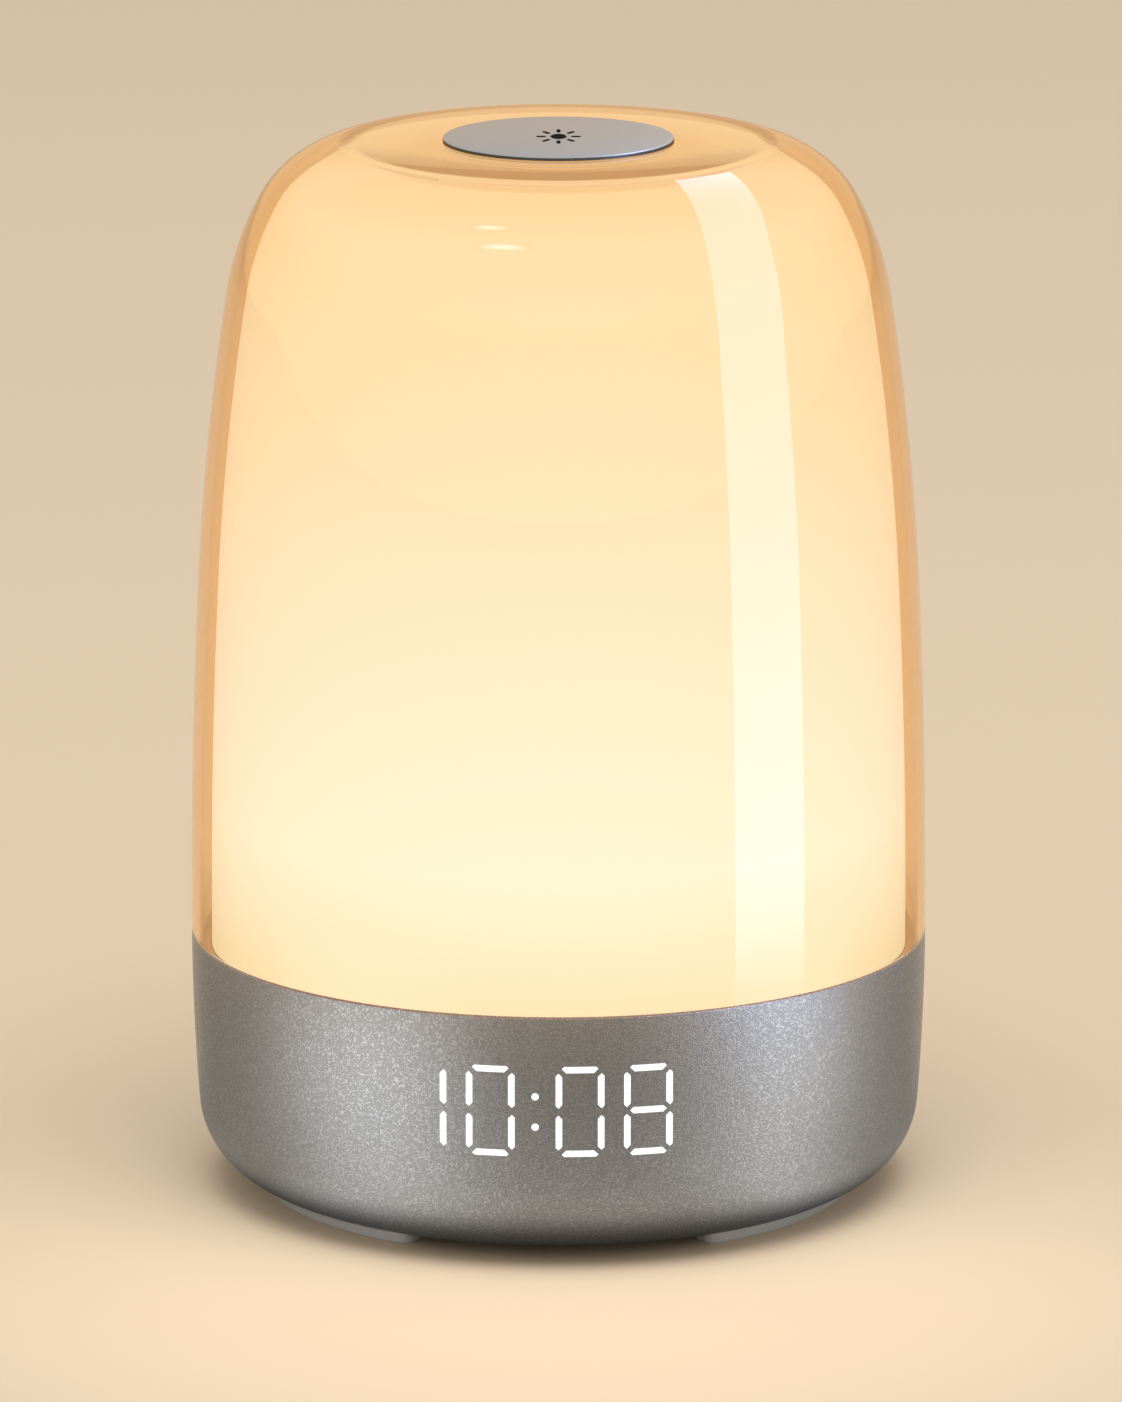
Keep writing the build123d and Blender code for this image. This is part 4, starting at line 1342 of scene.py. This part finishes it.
@dataclass(frozen=True)
class Studio:
    """Paper sweep, soft light, reflected cards and the camera."""

    form: LampForm
    camera_place: Place = (0.4, -1619.6, 464.05)
    camera_pitch: float = 13.341
    sensor: float = 36.0
    lens: float = 262.4
    clip_reach: float = 24000.0
    floor_radius: float = 6000.0
    floor_steps: int = 96
    wall: str = "#dccaaf"
    warm_wall: str = "#eccba1"
    ceiling: str = "#d6d8dc"
    ceiling_slopes: Point = (0.25, 0.5)
    glow_above: str = "#fff6de"
    glow_slopes: Point = (0.2, 0.34)
    fill: str = "#fff8ee"
    fill_strength: float = 0.62
    top_place: Place = (150.0, -800.0, 2900.0)
    top_size: float = 2400.0
    top_power: float = 48.0
    top_colour: str = "#fffefc"
    strip_bearings: Point = (27.9, 40.7)
    strip_spreads: Point = (0.025, 0.09)
    strip_turns: Point = (0.0, 76.0)
    card_distance: float = 120.0
    glint_bearings: tuple[Point, ...] = ((-17.8, -8.8), (-15.8, -5.0))
    glint_turns: tuple[Point, ...] = ((41.2, 44.4), (30.2, 34.3))
    wall_path: tuple[Point, ...] = ((105.0, 0.4), (105.0, 45.0))
    table_path: tuple[Point, ...] = ((46.0, 0.4), (105.0, 0.4))
    room_bearing: float = 179.5
    card_steps: int = 90

    def card(self, name: str, rows: Sequence[Sequence[Place]], finish: Finish) -> None:
        """Makes a card from rows of points that shows in reflections only.

        Args:
            name: Name of the card.
            rows: Points of the card, row above row.
            finish: Glow of the card.
        """
        wide = len(rows[0])
        points = [point for row in rows for point in row]
        faces = []
        for row in range(len(rows) - 1):
            for place in range(row * wide, row * wide + wide - 1):
                faces.append((place, place + 1, place + 1 + wide, place + wide))
        card = mesh_object(name, points, faces)
        layer = card.data.uv_layers.new(name="across")
        for loop in card.data.loops:
            row, place = divmod(loop.vertex_index, wide)
            layer.data[loop.index].uv = (place / (wide - 1), row / (len(rows) - 1))
        card.data.materials.append(finish.material())
        card.visible_camera = False
        card.visible_diffuse = False
        card.visible_transmission = False
        card.visible_shadow = False
        LOG.info("%s: reflected card", name)

    def mirrored(self, turn: float, bearing: float) -> Place:
        """Finds where a sight line goes from the shade's polished face.

        Args:
            turn: Slope of the shade's face there, in degrees from upright.
            bearing: Bearing about the axis, in degrees from the front to the right.

        Returns:
            The point at the card's distance along the mirrored sight line.
        """
        slope, side = math.radians(turn), math.radians(bearing)
        radius, level = self.form.shade.at(slope)
        outward = Vector((math.sin(side), -math.cos(side), 0.0))
        normal = outward * math.cos(slope) + Vector((0.0, 0.0, math.sin(slope)))
        place = outward * radius + Vector((0.0, 0.0, level))
        sight = (place - Vector(self.camera_place)).normalized()
        return tuple(place + sight.reflect(normal) * self.card_distance)

    def cards(self) -> None:
        """Makes the strip and two glints that show sharply in the shade, and the room round the bowl."""
        shares = [step / self.card_steps for step in range(self.card_steps + 1)]
        first, last = self.strip_turns
        strip = []
        for turn in (first + (last - first) * share for share in shares):
            edges = zip(self.strip_bearings, self.strip_spreads)
            strip.append([self.mirrored(turn, bearing + spread * turn) for bearing, spread in edges])
        self.card("strip_card", strip, STRIP_LIGHT)
        for number, (sides, turns) in enumerate(zip(self.glint_bearings, self.glint_turns), start=1):
            ends = [[self.mirrored(turn, side) for side in sides] for turn in turns]
            self.card(f"glint_card_{number}", ends, GLINT_LIGHT)
        bearings = [math.radians(self.room_bearing * (2 * share - 1)) for share in shares]
        rooms = {"wall_card": (self.wall_path, ROOM_WALL), "table_card": (self.table_path, ROOM_TABLE)}
        for name, (path, finish) in rooms.items():
            rows = [[(r * math.sin(b), -r * math.cos(b), z) for b in bearings] for r, z in path]
            self.card(name, rows, finish)

    def floor(self) -> None:
        """Makes the round paper floor."""
        rim = [(x, y, 0.0) for x, y in disc_points((0.0, 0.0), self.floor_radius, self.floor_steps)]
        floor = mesh_object("paper_floor", rim, [tuple(range(self.floor_steps))])
        floor.data.materials.append(PAPER.material())

    def rising(self, tree: Tree, slopes: Point, low: str, high: str) -> Socket:
        """Adds a room tone that changes with the slope of the sight line.

        Args:
            tree: Node tree of the world.
            slopes: Slopes where the change starts and ends.
            low: Colour below it.
            high: Colour above it.

        Returns:
            The socket that gives the tone.
        """
        direction = add_node(tree, "TexCoord", output="Generated")
        slope = add_node(tree, "SeparateXYZ", {0: direction}, "Z")
        above = add_node(tree, "MapRange", {"Value": slope, "From Min": slopes[0], "From Max": slopes[1]})
        room = {"Factor": above, "A": linear(low), "B": linear(high)}
        return add_node(tree, "Mix", room, "Result", data_type="RGBA")

    def world(self) -> None:
        """Makes the soft light all round, seen as a plain room by the camera and in the polished faces."""
        world = bpy.data.worlds.new("Soft room")
        bpy.context.scene.world = world
        world.use_nodes = True
        tree = world.node_tree
        tree.nodes.clear()
        path = add_node(tree, "LightPath").node.outputs
        views = {
            "Is Glossy Ray": self.rising(tree, self.ceiling_slopes, self.warm_wall, self.ceiling),
            "Is Transmission Ray": self.rising(tree, self.glow_slopes, self.wall, self.glow_above),
            "Is Camera Ray": linear(self.wall),
        }
        tone: Socket | Colour = linear(self.fill, self.fill_strength)
        for ray, seen in views.items():
            room = {"Factor": path[ray], "A": tone, "B": seen}
            tone = add_node(tree, "Mix", room, "Result", data_type="RGBA")
        add_node(tree, "OutputWorld", {"Surface": add_node(tree, "Background", {"Color": tone})})

    def lamps(self) -> None:
        """Hangs one large soft light above and in front."""
        data = bpy.data.lights.new("top_light", "AREA")
        data.shape = "DISK"
        data.size = self.top_size * MM
        data.energy = self.top_power
        data.color = linear(self.top_colour)[:3]
        lamp = bpy.data.objects.new("top_light", data)
        lamp.location = Vector(self.top_place) * MM
        lamp.rotation_euler = (-lamp.location).to_track_quat("-Z", "Y").to_euler()
        lamp.visible_glossy = False
        lamp.visible_transmission = False
        bpy.context.scene.collection.objects.link(lamp)

    def camera(self) -> None:
        """Sets the camera where the lamp was seen from."""
        data = bpy.data.cameras.new("camera")
        data.sensor_fit = "VERTICAL"
        data.sensor_height = self.sensor
        data.lens = self.lens
        data.clip_end = self.clip_reach * MM
        camera = bpy.data.objects.new("camera", data)
        camera.location = Vector(self.camera_place) * MM
        camera.rotation_euler = (QUARTER_TURN - math.radians(self.camera_pitch), 0.0, 0.0)
        bpy.context.scene.collection.objects.link(camera)
        bpy.context.scene.camera = camera

    def build(self) -> None:
        """Builds the studio."""
        bpy.context.scene.view_settings.view_transform = "Standard"
        self.floor()
        self.world()
        self.lamps()
        self.cards()
        self.camera()


def main() -> None:
    """Builds the lamp and its studio."""
    logging.basicConfig(level=logging.INFO, format="%(message)s")
    form = LampForm()
    CarriedPieces().build()
    for part in (Bowl(form), Shade(form), ClockDisplay(form), PressButton(), Studio(form)):
        part.build()


if __name__ == "__main__":
    main()
